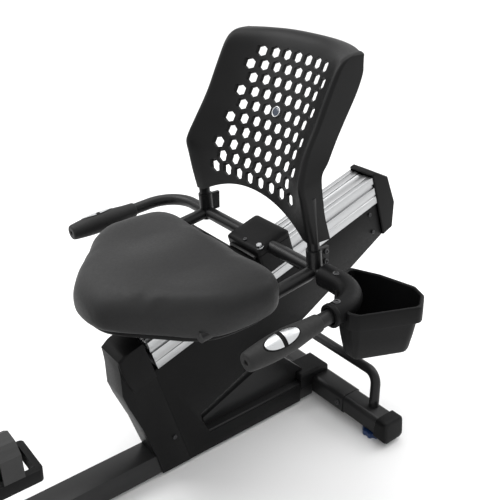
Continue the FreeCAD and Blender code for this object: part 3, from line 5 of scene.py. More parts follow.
import bmesh
import bpy
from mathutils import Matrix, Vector
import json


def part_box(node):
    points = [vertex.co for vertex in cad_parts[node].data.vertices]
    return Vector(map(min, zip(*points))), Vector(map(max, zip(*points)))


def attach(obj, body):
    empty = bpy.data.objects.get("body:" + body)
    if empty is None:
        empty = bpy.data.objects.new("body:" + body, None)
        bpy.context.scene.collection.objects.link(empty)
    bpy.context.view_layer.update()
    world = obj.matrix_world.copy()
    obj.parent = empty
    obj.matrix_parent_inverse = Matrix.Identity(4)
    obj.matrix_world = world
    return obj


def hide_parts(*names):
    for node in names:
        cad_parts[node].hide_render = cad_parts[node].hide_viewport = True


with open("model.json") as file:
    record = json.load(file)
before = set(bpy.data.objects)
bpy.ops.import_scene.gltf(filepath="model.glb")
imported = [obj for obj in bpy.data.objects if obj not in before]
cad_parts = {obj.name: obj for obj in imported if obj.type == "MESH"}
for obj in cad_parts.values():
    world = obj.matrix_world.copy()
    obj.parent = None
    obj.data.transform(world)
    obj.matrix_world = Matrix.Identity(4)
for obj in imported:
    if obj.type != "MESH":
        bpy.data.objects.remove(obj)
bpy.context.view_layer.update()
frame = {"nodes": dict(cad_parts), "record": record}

MM = 0.001
SIDES = {"left": 1, "right": -1}

# The adjusting rail: where it starts, how steep it is, and its two directions.
RAIL_START = Vector((-0.495, 0.0, 0.455))
RAIL_SLOPE = math.radians(17.5)
RAIL_ALONG = Vector((math.cos(RAIL_SLOPE), 0.0, -math.sin(RAIL_SLOPE)))
RAIL_UP = Vector((math.sin(RAIL_SLOPE), 0.0, math.cos(RAIL_SLOPE)))


# ---------------------------------------------------------------- finishes

def new_material(name):
    material = bpy.data.materials.new(name)
    material.use_nodes = True
    return material, material.node_tree.nodes, material.node_tree.links


def add_node(nodes, kind, **inputs):
    made = nodes.new(kind)
    for key, value in inputs.items():
        made.inputs[key.replace("_", " ")].default_value = value
    return made


def coordinates(nodes, links, stretch=(1, 1, 1), turn=0.0):
    """Object coordinates in metres, stretched and turned about Y so that a grain can follow a slope."""
    source = nodes.new("ShaderNodeTexCoord")
    mapping = nodes.new("ShaderNodeMapping")
    mapping.inputs["Rotation"].default_value = (0, turn, 0)
    links.new(source.outputs["Object"], mapping.inputs["Vector"])
    scaled = nodes.new("ShaderNodeMapping")
    scaled.inputs["Scale"].default_value = stretch
    links.new(mapping.outputs["Vector"], scaled.inputs["Vector"])
    return scaled.outputs["Vector"]


def ranged(nodes, links, value, low, high):
    made = nodes.new("ShaderNodeMapRange")
    made.inputs["From Min"].default_value = 0.3
    made.inputs["From Max"].default_value = 0.7
    made.inputs["To Min"].default_value = low
    made.inputs["To Max"].default_value = high
    links.new(value, made.inputs["Value"])
    return made.outputs["Result"]


def blend_colour(nodes, links, value, dark, light):
    made = nodes.new("ShaderNodeMix")
    made.data_type = "RGBA"
    made.inputs["A"].default_value = (*dark, 1)
    made.inputs["B"].default_value = (*light, 1)
    links.new(value, made.inputs["Factor"])
    return made.outputs["Result"]


def finish_material(name, dark, light, roughness, grain, depth, metallic=0.0, specular=0.5, sheen=0.0,
                    coat=0.0, stretch=(1, 1, 1), turn=0.0, cells=False, wear=0.0):
    """A finish with cloudy colour, uneven roughness, a fine grain in relief and lighter worn edges.

    grain is the number of grains in a metre and depth is their relief in metres.
    """
    material, nodes, links = new_material(name)
    shader = nodes["Principled BSDF"]
    shader.inputs["Metallic"].default_value = metallic
    shader.inputs["Specular IOR Level"].default_value = specular
    shader.inputs["Sheen Weight"].default_value = sheen
    shader.inputs["Sheen Roughness"].default_value = 0.5
    shader.inputs["Coat Weight"].default_value = coat
    place = coordinates(nodes, links, stretch, turn)

    cloud = add_node(nodes, "ShaderNodeTexNoise", Scale=9.0, Detail=4.0)
    links.new(place, cloud.inputs["Vector"])
    spots = add_node(nodes, "ShaderNodeTexNoise", Scale=grain / 6, Detail=3.0)
    links.new(place, spots.inputs["Vector"])
    if cells:
        fine = add_node(nodes, "ShaderNodeTexVoronoi", Scale=grain)
        relief = fine.outputs["Distance"]
    else:
        fine = add_node(nodes, "ShaderNodeTexNoise", Scale=grain, Detail=2.0)
        relief = fine.outputs["Fac"]
    links.new(place, fine.inputs["Vector"])

    colour = blend_colour(nodes, links, ranged(nodes, links, cloud.outputs["Fac"], 0, 1), dark, light)
    if wear:
        shape = nodes.new("ShaderNodeNewGeometry")
        edge = nodes.new("ShaderNodeMapRange")
        edge.inputs["From Min"].default_value = 0.52
        edge.inputs["From Max"].default_value = 0.62
        edge.inputs["To Max"].default_value = wear
        links.new(shape.outputs["Pointiness"], edge.inputs["Value"])
        worn = nodes.new("ShaderNodeMix")
        worn.data_type = "RGBA"
        worn.inputs["B"].default_value = (*[min(1.0, c * 3 + 0.05) for c in light], 1)
        links.new(edge.outputs["Result"], worn.inputs["Factor"])
        links.new(colour, worn.inputs["A"])
        colour = worn.outputs["Result"]
    links.new(colour, shader.inputs["Base Color"])
    spread = ranged(nodes, links, spots.outputs["Fac"], roughness - 0.05, roughness + 0.05)
    links.new(spread, shader.inputs["Roughness"])

    bump = add_node(nodes, "ShaderNodeBump", Strength=0.6, Distance=depth)
    links.new(relief, bump.inputs["Height"])
    links.new(bump.outputs["Normal"], shader.inputs["Normal"])
    return material


def make_finishes():
    brushed = (6, 700, 700)
    return {
        "frame_paint": finish_material("satin_powder_coat", (0.005, 0.005, 0.0053), (0.0078, 0.0078, 0.0081),
                                       0.36, 900, 0.00005, specular=0.27, wear=0.10),
        "black_plastic": finish_material("textured_moulding", (0.0026, 0.0026, 0.0028),
                                         (0.0042, 0.0042, 0.0044), 0.46, 1500, 0.00006, specular=0.11,
                                         cells=True),
        "backrest_plastic": finish_material("fine_moulding", (0.0034, 0.0034, 0.0036),
                                            (0.0054, 0.0054, 0.0056), 0.42, 1800, 0.00005, specular=0.17,
                                            cells=True),
        "rail_aluminium": finish_material("brushed_aluminium", (0.40, 0.405, 0.41), (0.50, 0.505, 0.51), 0.34,
                                          1.0, 0.00002, metallic=1.0, stretch=brushed, turn=-RAIL_SLOPE),
        "bright_steel": finish_material("satin_steel", (0.55, 0.56, 0.57), (0.68, 0.69, 0.70), 0.30,
                                        1.0, 0.00002, metallic=1.0, stretch=brushed),
        "dark_fastener": finish_material("black_oxide", (0.03, 0.03, 0.032), (0.06, 0.06, 0.062), 0.34,
                                         1200, 0.00004, metallic=0.7, wear=0.3),
        "cushion_skin": finish_material("seat_skin", (0.0102, 0.0102, 0.0104), (0.0130, 0.0130, 0.0132), 0.58,
                                        1100, 0.00008, specular=0.24, sheen=0.05, cells=True),
        "grip_rubber": finish_material("grip_foam", (0.009, 0.009, 0.009), (0.013, 0.013, 0.013), 0.62,
                                       900, 0.00010, specular=0.3, cells=True),
        "leveler_blue": finish_material("blue_moulding", (0.004, 0.022, 0.085), (0.006, 0.03, 0.11), 0.42,
                                        1200, 0.00006),
        "badge_blue": finish_material("navy_badge", (0.004, 0.013, 0.032), (0.006, 0.018, 0.042), 0.25,
                                      1200, 0.00003, coat=0.5),
        "cast_iron": finish_material("cast_iron", (0.06, 0.06, 0.062), (0.10, 0.10, 0.102), 0.5,
                                     700, 0.00015, metallic=0.8, wear=0.4),
        "belt_rubber": finish_material("ribbed_rubber", (0.012, 0.012, 0.012), (0.02, 0.02, 0.02), 0.7,
                                       1.0, 0.0003, stretch=(60, 900, 60)),
        "screen_glass": finish_material("screen_window", (0.010, 0.013, 0.016), (0.014, 0.018, 0.022), 0.10,
                                        900, 0.00001, coat=0.8),
        "key_plastic": finish_material("key_moulding", (0.10, 0.10, 0.105), (0.14, 0.14, 0.145), 0.45,
                                       1300, 0.00006, cells=True),
    }


FINISH = make_finishes()


def paint_nodes():
    """Each CAD node that stays takes the finish of its own material slot."""
    for part in frame["record"]["subparts"]:
        shown = frame["nodes"][part["node"]]
        shown.data.materials.clear()
        shown.data.materials.append(FINISH[part["material_slot"]])


# ---------------------------------------------------------------- stage

def make_camera():
    camera = bpy.data.objects.new("camera", bpy.data.cameras.new("camera"))
    camera.location = (0.489, 1.2333, 1.2461)
    aim = Vector((-0.5873, -0.7323, -0.3449))
    camera.rotation_euler = aim.to_track_quat("-Z", "Y").to_euler()
    camera.data.lens = 55.7
    camera.data.sensor_width = 36
    camera.data.shift_x = -0.0148
    camera.data.shift_y = -0.175
    camera.data.clip_end = 100
    bpy.context.scene.collection.objects.link(camera)
    bpy.context.scene.camera = camera


def make_light(name, place, aim, power, width):
    data = bpy.data.lights.new(name, "AREA")
    data.energy = power
    data.size = width
    lamp = bpy.data.objects.new(name, data)
    lamp.location = place
    lamp.rotation_euler = (Vector(aim) - Vector(place)).to_track_quat("-Z", "Y").to_euler()
    bpy.context.scene.collection.objects.link(lamp)


def make_overhead():
    """A broad soft sun from above, which keeps the floor white."""
    sun = bpy.data.lights.new("overhead", "SUN")
    sun.energy = 0.9
    sun.angle = math.radians(40)
    lamp = bpy.data.objects.new("overhead", sun)
    lamp.rotation_euler = (math.radians(12), math.radians(-10), 0)
    bpy.context.scene.collection.objects.link(lamp)


def make_stage():
    material, nodes, links = new_material("studio_floor")
    shader = nodes["Principled BSDF"]
    shader.inputs["Roughness"].default_value = 0.7
    cloud = add_node(nodes, "ShaderNodeTexNoise", Scale=3.0)
    links.new(coordinates(nodes, links), cloud.inputs["Vector"])
    links.new(blend_colour(nodes, links, cloud.outputs["Fac"], (0.86, 0.86, 0.86), (0.88, 0.88, 0.88)),
              shader.inputs["Base Color"])
    mesh = bpy.data.meshes.new("studio_floor")
    reach = 14.0
    mesh.from_pydata([(-reach, -reach, 0), (reach, -reach, 0), (reach, reach, 0), (-reach, reach, 0)], [],
                     [(0, 1, 2, 3)])
    mesh.materials.append(material)
    floor = bpy.data.objects.new("studio_floor", mesh)
    bpy.context.scene.collection.objects.link(floor)

    world = bpy.data.worlds.new("studio")
    world.use_nodes = True
    world.node_tree.nodes["Background"].inputs["Color"].default_value = (1, 1, 1, 1)
    world.node_tree.nodes["Background"].inputs["Strength"].default_value = 1.0
    bpy.context.scene.world = world
    aim = (-0.4, 0.0, 0.4)
    make_light("key", (0.9, -1.6, 3.0), aim, 60, 2.0)
    make_light("rim", (-2.4, 0.6, 1.8), aim, 15, 1.4)
    make_overhead()
    bpy.context.scene.view_settings.view_transform = "Standard"


# ---------------------------------------------------------------- mesh making

def between(low, high, share):
    return low + (high - low) * share


def eased(share):
    share = min(1.0, max(0.0, share))
    return share * share * (3 - 2 * share)


def curve_value(knots, at):
    """The value at one place of a smooth line through (place, value) knots in rising order of place."""
    if at <= knots[0][0]:
        return knots[0][1]
    if at >= knots[-1][0]:
        return knots[-1][1]
    index = max(i for i in range(len(knots) - 1) if knots[i][0] <= at)
    (x0, y0), (x1, y1) = knots[index], knots[index + 1]
    before = knots[max(0, index - 1)]
    after = knots[min(len(knots) - 1, index + 2)]
    slope0 = (y1 - before[1]) / (x1 - before[0])
    slope1 = (after[1] - y0) / (after[0] - x0)
    span = x1 - x0
    t = (at - x0) / span
    return ((2 * t ** 3 - 3 * t ** 2 + 1) * y0 + (t ** 3 - 2 * t ** 2 + t) * span * slope0
            + (3 * t ** 2 - 2 * t ** 3) * y1 + (t ** 3 - t ** 2) * span * slope1)


def skin_mesh(name, rings, closed=True, capped=False):
    """A skin through rows of points in millimetres. Closed rows run round a ring; capped ends are filled."""
    work = bmesh.new()
    rows = [[work.verts.new(Vector(point) * MM) for point in ring] for ring in rings]
    count = len(rows[0])
    for low, high in zip(rows, rows[1:]):
        for index in range(count if closed else count - 1):
            after = (index + 1) % count
            work.faces.new((low[index], low[after], high[after], high[index]))
    if capped:
        work.faces.new(list(reversed(rows[0])))
        work.faces.new(rows[-1])
    bmesh.ops.recalc_face_normals(work, faces=work.faces)
    mesh = bpy.data.meshes.new(name)
    work.to_mesh(mesh)
    work.free()
    return mesh


def show_piece(name, mesh, finish, body, nodes=()):
    """Puts a mesh in the scene as a piece that rides on a body and stands for the named nodes."""
    mesh.materials.clear()
    mesh.materials.append(FINISH[finish])
    piece = bpy.data.objects.new(name, mesh)
    bpy.context.scene.collection.objects.link(piece)
    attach(piece, body)
    if nodes:
        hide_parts(*nodes)
    return piece


def settle(piece, crease=35):
    """Turns a piece's modifiers into plain mesh, smooth but for edges sharper than crease degrees."""
    bpy.context.view_layer.update()
    graph = bpy.context.evaluated_depsgraph_get()
    shaped = bpy.data.meshes.new_from_object(piece.evaluated_get(graph))
    piece.modifiers.clear()
    piece.data = shaped
    shaped.polygons.foreach_set("use_smooth", [True] * len(shaped.polygons))
    shaped.set_sharp_from_angle(angle=math.radians(crease))


def add_modifier(piece, kind, **settings):
    modifier = piece.modifiers.new(kind.lower(), kind)
    for key, value in settings.items():
        setattr(modifier, key, value)
    return modifier


def add_bevel(piece, width, segments=3, angle=30):
    add_modifier(piece, "BEVEL", width=width * MM, segments=segments, limit_method="ANGLE",
                 angle_limit=math.radians(angle), harden_normals=False)


def polygon_ring(points, radii, steps, z):
    """A closed outline in plan with each corner rounded by its own radius, at height z."""
    ring = []
    count = len(points)
    for index in range(count):
        corner = Vector(points[index])
        back = Vector(points[index - 1]) - corner
        ahead = Vector(points[(index + 1) % count]) - corner
        half = back.angle(ahead) / 2
        cut = min(radii[index] / math.tan(half), back.length * 0.45, ahead.length * 0.45)
        start = corner + back.normalized() * cut
        end = corner + ahead.normalized() * cut
        for step in range(steps + 1):
            t = step / steps
            place = start * (1 - t) ** 2 + corner * 2 * t * (1 - t) + end * t ** 2
            ring.append((place.x, place.y, z))
    return ring


def inset_points(points, inset):
    """A plan outline moved inwards (its corners run anticlockwise seen from above, or clockwise)."""
    count = len(points)
    area = sum(points[i][0] * points[(i + 1) % count][1] - points[(i + 1) % count][0] * points[i][1]
               for i in range(count))
    turn = 1 if area > 0 else -1
    moved = []
    for index in range(count):
        corner = Vector(points[index])
        into = (corner - Vector(points[index - 1])).normalized()
        out = (Vector(points[(index + 1) % count]) - corner).normalized()
        side_in = Vector((-into.y, into.x)) * turn
        side_out = Vector((-out.y, out.x)) * turn
        middle = (side_in + side_out).normalized()
        moved.append(tuple(corner + middle * inset / max(0.5, middle.dot(side_in))))
    return moved


def circle_ring(centre, along, radius, count=32, up=Vector((0, 0, 1))):
    """A ring of points round a centre, square to a direction, in millimetres."""
    side = along.cross(up).normalized()
    rise = side.cross(along).normalized()
    return [tuple(centre + side * radius * math.cos(2 * math.pi * i / count)
                  + rise * radius * math.sin(2 * math.pi * i / count)) for i in range(count)]


def bent_line(corners, bend, steps=10):
    """Points along straight runs joined by bends; the bend is the distance it takes from each run."""
    line = [Vector(corners[0])]
    for before, corner, after in zip(corners, corners[1:], corners[2:]):
        corner = Vector(corner)
        start = corner + (Vector(before) - corner).normalized() * bend
        end = corner + (Vector(after) - corner).normalized() * bend
        for step in range(steps + 1):
            t = step / steps
            line.append(start * (1 - t) ** 2 + corner * 2 * t * (1 - t) + end * t ** 2)
    line.append(Vector(corners[-1]))
    return line


def tube_rings(line, radii, count=32):
    """Rings along a line of points; radii gives one radius for each point."""
    rings = []
    for index, place in enumerate(line):
        along = (line[min(index + 1, len(line) - 1)] - line[max(index - 1, 0)]).normalized()
        rings.append(circle_ring(place, along, radii[index], count))
    return rings


# ---------------------------------------------------------------- softened hard parts

def part_facts(node):
    for part in frame["record"]["subparts"]:
        if part["node"] == node:
            return part["material_slot"], body_of_node(node)
    raise ValueError(node)


def body_of_node(node):
    for body, nodes in frame["record"]["behaviour"]["bodies"].items():
        if node in nodes:
            return body
    raise ValueError(node)


def soften(node, width, segments=2, crease=35):
    """Stands for a hard node with its edges broken, so that they catch the light as real ones do."""
    finish, body = part_facts(node)
    work = bmesh.new()
    work.from_mesh(frame["nodes"][node].data)
    bmesh.ops.remove_doubles(work, verts=work.verts, dist=2e-5)
    bmesh.ops.dissolve_limit(work, angle_limit=math.radians(1.0), verts=work.verts, edges=work.edges)
    mesh = bpy.data.meshes.new(node + "_shape")
    work.to_mesh(mesh)
    work.free()
    piece = show_piece(node + "_shape", mesh, finish, body, [node])
    add_bevel(piece, width, segments, crease)
    settle(piece, crease)


SOFTENED = {
    "main_beam": 3.0, "rear_stabilizer": 3.0, "front_stabilizer": 3.0, "stabilizer_cover": 2.0,
    "rear_gusset": 1.0, "rail": 0.6, "rail_housing_left": 1.2, "rail_housing_right": 1.2, "nose_cover": 3.0,
    "rail_end_cap": 4.0, "carriage_frame": 1.0, "drive_frame": 1.5,
    "console_back": 3.0, "console_front": 3.0, "console_screen": 0.6, "crank_arms": 2.0, "pedal_left": 1.5,
    "pedal_right": 1.5, "lock_lever": 1.2, "leveler_left": 1.0, "leveler_right": 1.0, "leveler_centre": 1.0,
    "frame_fasteners": 0.5, "seat_fasteners": 0.5, "flywheel": 1.5, "drive_pulley": 1.0, "key_start": 0.5,
    "key_level": 0.5, "brake_magnet": 1.0, }


def make_softened():
    for node, width in SOFTENED.items():
        soften(node, width)


# ---------------------------------------------------------------- backrest

BACK_HALF = 176          # half width of the front sheet before it rolls into the wings
ROLL = 12                # radius of that roll
SHELL = 8                # thickness of the moulding
# The sheet's outline seen from the side, from its foot over the roof to its rear lip, on the mid-plane and at
# its side edges. Rows of the two lists belong together.
SPINE = [(-490, 552), (-491, 600), (-494, 632), (-500, 658), (-513, 686), (-527, 712), (-539, 740),
         (-568, 797), (-592, 845), (-611, 884), (-621, 906), (-629, 920), (-639, 929), (-651, 931),
         (-662, 928)]
RIDGE = [(-474, 552), (-462, 600), (-454, 640), (-447, 672), (-450, 690), (-460, 714), (-473, 741),
         (-502, 792), (-526, 843), (-544, 880), (-555, 899), (-567, 912), (-582, 920), (-600, 924),
         (-618, 925)]
WING_REAR = [(-526, 552), (-510, 604), (-504, 640), (-500, 678), (-505, 698), (-524, 716), (-541, 740),
             (-572, 792), (-602, 843), (-617, 880), (-618, 900), (-618, 912), (-618.5, 920), (-619, 924),
             (-619, 925)]
HALF_WIDTH = [(552, 206), (640, 204), (690, 198), (730, 190), (770, 187), (930, 187)]
HOLE_ROWS = 10
HOLE_PITCH = 34
HOLE_TOP = 883
HOLE_LEAN = math.radians(26.7)
HOLE_RADIUS = 13.8
BADGE_ROW = 4


def line_point(line, share):
    """A point of a side outline, share running from 0 at its first point to 1 at its last."""
    places = [(index / (len(line) - 1), point) for index, point in enumerate(line)]
    return tuple(curve_value([(place, point[axis]) for place, point in places], share) for axis in (0, 1))


def sheet_point(y, share):
    """A point on the front and roof of the backrest, across by y and up by share."""
    hollow = min(1.0, abs(y) / BACK_HALF) ** 2.6
    middle = line_point(SPINE, share)
    edge = line_point(RIDGE, share)
    widen = curve_value(HALF_WIDTH, middle[1]) / 187
    arch = max(0.0, 1 - (abs(y) / 160) ** 2) * 52 * max(0.0, 1 - share * 5)
    height = between(middle[1], edge[1], hollow)
    return Vector((between(middle[0], edge[0], hollow), y * widen, height + arch))


def sheet_row(share):
    """One row of points from the right wing's rear edge across the front to the left wing's."""
    half = 28
    front = [sheet_point(BACK_HALF * step / half, share) for step in range(half + 1)]
    edge = front[-1]
    inward = (front[-1] - front[-2]).normalized()
    start_angle = math.atan2(inward.x, inward.y)
    roll = []
    place = edge.copy()
    steps = 7
    rear_x, rear_z = line_point(WING_REAR, share)
    reach = ROLL * 1.6 * eased((edge.x - rear_x) / 40)
    for step in range(1, steps + 1):
        angle = between(start_angle, -math.pi / 2, step / steps)
        place = place + Vector((math.sin(angle), math.cos(angle), 0)) * reach / steps
        roll.append(place.copy())
    last = roll[-1]
    rear = Vector((min(rear_x, last.x - 0.8), last.y + 1, rear_z))
    wall = [last.lerp(rear, step / 8) for step in range(1, 9)]
    half_row = front + roll + wall
    mirrored = [Vector((p.x, -p.y, p.z)) for p in reversed(half_row[1:])]
    return mirrored + half_row


def hole_places():
    """Rows of holes in a honeycomb across the sheet; the badge takes the place of one."""
    pitch_z = HOLE_PITCH * math.sqrt(3) / 2 * 1.0868 * math.cos(HOLE_LEAN)
    for row in range(HOLE_ROWS):
        count = 7 if row % 2 == 0 else 8
        for index in range(count):
            if row == BADGE_ROW and index == 3:
                continue
            yield (index - (count - 1) / 2) * HOLE_PITCH, HOLE_TOP - row * pitch_z


def spine_share(y, height):
    """Where up the sheet a height is reached at y."""
    low, high = 0.0, 0.8
    for _ in range(30):
        middle = (low + high) / 2
        if sheet_point(y, middle).z < height:
            low = middle
        else:
            high = middle
    return low


def hole_punches():
    """Six-sided punches square to the sheet, wider outside it so that each hole's rim is broken."""
    work = bmesh.new()
    for y, height in hole_places():
        share = spine_share(y, height)
        centre = sheet_point(y, share)
        up = (sheet_point(y, share + 0.01) - sheet_point(y, share - 0.01)).normalized()
        out = Vector((math.cos(HOLE_LEAN), 0, math.sin(HOLE_LEAN)))
        up = (up - out * up.dot(out)).normalized()
        across = out.cross(up)
        rings = []
        for depth, radius in ((20, HOLE_RADIUS + 1.4), (0.4, HOLE_RADIUS + 1.4), (-1.2, HOLE_RADIUS),
                              (-20, HOLE_RADIUS)):
            ring = []
            for corner in range(6):
                angle = math.radians(60 * corner + 30)
                place = centre + out * depth + (across * math.cos(angle) + up * math.sin(angle)) * radius
                ring.append(work.verts.new(place * MM))
            rings.append(ring)
        for low, high in zip(rings, rings[1:]):
            for index in range(6):
                after = (index + 1) % 6
                work.faces.new((low[index], low[after], high[after], high[index]))
        work.faces.new(rings[0][::-1])
        work.faces.new(rings[-1])
    bmesh.ops.recalc_face_normals(work, faces=work.faces)
    mesh = bpy.data.meshes.new("hole_punches")
    work.to_mesh(mesh)
    work.free()
    return mesh


def punch(piece, punches, crease):
    tool = bpy.data.objects.new("punches", punches)
    bpy.context.scene.collection.objects.link(tool)
    add_modifier(piece, "BOOLEAN", operation="DIFFERENCE", solver="EXACT", object=tool)
    settle(piece, crease)
    bpy.data.objects.remove(tool)


def make_backrest():
    """The perforated shell: a hollow front sheet that rolls over a roof and into two side wings."""
    rows = 64
    rings = [sheet_row(step / rows) for step in range(rows + 1)]
    mesh = skin_mesh("backrest_moulding", rings, closed=False)
    piece = show_piece("backrest_moulding", mesh, "backrest_plastic", "seat_carriage", ["backrest_shell"])
    add_modifier(piece, "SOLIDIFY", thickness=SHELL * MM, offset=-1.0, use_even_offset=False)
    settle(piece)
    punch(piece, hole_punches(), 30)


# ---------------------------------------------------------------- seat cushion

SEAT_PLAN = [(-412, 0), (-412, 70), (-411, 130), (-404, 190), (-376, 220), (-310, 229), (-238, 222),
             (-188, 191), (-150, 151), (-116, 116), (-86, 82), (-63, 46), (-56, 0)]
SEAT_MIDDLE = (-262, 0)
SEAT_BOTTOM = 428
# How far out, and how high, the cushion's section runs from the middle of its top round to its underside.
SEAT_SECTION = [(0.02, 1.0), (0.2, 1.0), (0.4, 1.0), (0.6, 1.0), (0.74, 0.995), (0.84, 0.975), (0.91, 0.93),
                (0.96, 0.85), (0.99, 0.72), (1.004, 0.56), (1.006, 0.36), (0.998, 0.16), (0.978, 0.03),
                (0.94, -0.02), (0.9, 0.02), (0.84, 0.1), (0.7, 0.1), (0.4, 0.1), (0.02, 0.1)]


def seat_top(x, y):
    """Height of the seat's top: two thigh hollows, a low ridge between them and a front that falls away."""
    top = 523.0
    top -= 9 * eased((-350 - x) / 60)
    top -= 36 * max(0.0, (x + 205) / 150) ** 1.9
    hollow = math.exp(-((abs(y) - 96) / 52) ** 2) * math.exp(-((x + 262) / 95) ** 2)
    rise = math.exp(-(y / 46) ** 2) * math.exp(-((x + 130) / 80) ** 2)
    return top - 8 * hollow + 4 * rise


def seat_outline(steps=96):
    """The seat's plan as evenly spaced points on a smooth closed curve."""
    half = SEAT_PLAN[1:-1]
    corners = [SEAT_PLAN[0]] + half + [SEAT_PLAN[-1]] + [(x, -y) for x, y in reversed(half)]
    count = len(corners)
    points = []
    for index in range(count):
        p0, p1, p2, p3 = (Vector(corners[(index + k) % count]) for k in (-1, 0, 1, 2))
        for step in range(steps // count + 1):
            t = step / (steps // count + 1)
            points.append(0.5 * (2 * p1 + (p2 - p0) * t + (2 * p0 - 5 * p1 + 4 * p2 - p3) * t ** 2
                                 + (3 * p1 - p0 - 3 * p2 + p3) * t ** 3))
    return points


def seat_rings():
    middle = Vector(SEAT_MIDDLE)
    shrink = 0.995
    rings = []
    for reach, height in SEAT_SECTION:
        ring = []
        for point in seat_outline():
            place = middle + (point - middle) * reach * shrink
            top = seat_top(place.x, place.y)
            ring.append((place.x, place.y, between(SEAT_BOTTOM, top, height)))
        rings.append(ring)
    return rings


def plump(piece, voxel, pressure, reach, frames=20):
    """Fills a closed skin as foam fills a cover: cloth under pressure, with each point's move capped."""
    add_modifier(piece, "REMESH", mode="VOXEL", voxel_size=voxel * MM)
    settle(piece, 180)
    rest = [vertex.co.copy() for vertex in piece.data.vertices]
    cloth = add_modifier(piece, "CLOTH")
    cloth.settings.quality = 6
    cloth.settings.mass = 0.3
    cloth.settings.tension_stiffness = 25
    cloth.settings.compression_stiffness = 25
    cloth.settings.bending_stiffness = 2.0
    cloth.settings.use_pressure = True
    cloth.settings.uniform_pressure_force = pressure
    cloth.settings.effector_weights.gravity = 0
    cloth.point_cache.frame_start = 1
    cloth.point_cache.frame_end = frames
    for step in range(1, frames + 1):
        bpy.context.scene.frame_set(step)
    settle(piece, 180)
    bpy.context.scene.frame_set(1)
    for vertex, start in zip(piece.data.vertices, rest):
        move = vertex.co - start
        if move.length > reach * MM:
            vertex.co = start + move.normalized() * reach * MM


# The pan's section from the middle of its underside round to its top, as (reach, height).
PAN_SECTION = [(0.5, 418.5), (0.84, 418.5), (0.875, 420.5), (0.89, 425), (0.89, 431), (0.86, 436),
               (0.5, 436)]


def make_seat_pan():
    """The pan under the cushion, a shallow moulding a little smaller than the seat."""
    middle = Vector(SEAT_MIDDLE)
    rings = []
    for reach, height in PAN_SECTION:
        places = [middle + (point - middle) * reach for point in seat_outline()]
        rings.append([(place.x, place.y, height) for place in places])
    mesh = skin_mesh("seat_pan_moulding", rings, capped=True)
    settle(show_piece("seat_pan_moulding", mesh, "black_plastic", "seat_carriage", ["seat_pan"]), 35)


def make_cushion():
    mesh = skin_mesh("seat_cushion_pad", seat_rings(), capped=True)
    piece = show_piece("seat_cushion_pad", mesh, "cushion_skin", "seat_carriage", ["seat_cushion"])
    plump(piece, 6, 3.0, 6)
    add_modifier(piece, "SMOOTH", factor=0.5, iterations=20)
    add_modifier(piece, "SUBSURF", levels=1, render_levels=1)
    settle(piece, 180)


# ---------------------------------------------------------------- storage bin and elbow

BIN_RIM = [(-560, 230), (-588, 294), (-605, 372), (-592, 405), (-553, 434), (-435, 382), (-427, 364),
           (-427, 322), (-500, 252)]
BIN_CORNERS = [10, 30, 16, 14, 20, 10, 10, 12, 10]
# The bin's wall from the middle of its underside up the outside, over the rim and down the inside, as
# (inset from the rim's outline, height).
BIN_WALL = [(66, 370), (38, 370), (30, 371.5), (25, 375), (22, 381), (15, 415), (9.5, 448), (8.8, 451.6),
            (2.0, 451.8), (0.6, 452.4), (0, 454), (0, 482), (0.5, 484.6), (2, 486.2), (4, 486.8), (6, 486.2),
            (7.6, 484.4), (8, 481), (9, 470), (12, 450), (25, 384), (29, 378), (36, 374), (66, 373.2)]


def make_bin():
    rings = [polygon_ring(inset_points(BIN_RIM, inset), [r + inset * 0.35 for r in BIN_CORNERS], 6, z)
             for inset, z in BIN_WALL]
    mesh = skin_mesh("storage_bin_moulding", rings, capped=True)
    piece = show_piece("storage_bin_moulding", mesh, "black_plastic", "seat_carriage", ["storage_bin"])
    settle(piece, 28)


# The collars at the elbow's two ends, as (distance out along the tube, radius).
ELBOW_LEAD = [(4, 16.5), (0.8, 17), (0, 18.5), (0, 24), (1.2, 25.6)]
ELBOW_TAIL = [(-2, 22.6), (-1.2, 23.6), (0, 24), (7, 24), (8.4, 23.2), (9, 21.4), (9, 17.6), (8, 16.6),
              (4, 16.2)]


def make_elbow():
    """The moulding round the handle's bend: a fat tube with a collar at each end."""
    corners = [(-499, 221, 483.2), (-499, 335, 483.6), (-412, 335, 476.8)]
    line = bent_line(corners, 80, 20)
    total = len(line) - 1
    radii = [between(25.5, 22.5, eased(index / total)) for index in range(total + 1)]
    rings = tube_rings(line, radii, 40)
    start = (line[1] - line[0]).normalized()
    finish = (line[-1] - line[-2]).normalized()
    lead = [circle_ring(line[0] + start * out, start, radius, 40) for out, radius in ELBOW_LEAD]
    tail = [circle_ring(line[-1] + finish * out, finish, radius, 40) for out, radius in ELBOW_TAIL]
    mesh = skin_mesh("elbow_moulding", lead + rings[1:-1] + tail)
    settle(show_piece("elbow_moulding", mesh, "black_plastic", "seat_carriage", ["elbow_cover"]), 35)


def socket_screw(centre, out, radius):
    """Rings of a recessed screw head: a shallow dish, a domed head and a six-sided socket."""
    out = Vector(out).normalized()
    profile = [(0.0, radius * 1.5), (-1.2, radius * 1.3), (-1.2, radius), (0.6, radius * 0.92),
               (1.2, radius * 0.7), (1.3, radius * 0.5), (0.2, radius * 0.46), (-1.0, radius * 0.44)]
    guide = Vector((0.3, 0.2, 1)) if abs(out.z) < 0.9 else Vector((1, 0.1, 0))
    return [circle_ring(Vector(centre) + out * d, out, r, 24, up=guide) for d, r in profile]


def make_screws():
    screws = {"elbow_screw_rear": ((-492, 262, 508.0), (0.1, 0.0, 1.0), 5.0),
              "elbow_screw_front": ((-424, 333, 500.8), (0.05, 0.02, 1.0), 5.0)}
    for name, (centre, out, radius) in screws.items():
        mesh = skin_mesh(name, socket_screw(centre, out, radius), capped=True)
        piece = show_piece(name, mesh, "dark_fastener", "seat_carriage")
        settle(piece, 35)


# ---------------------------------------------------------------- hand grips

HANDLE_HALF_SPAN = 335.0
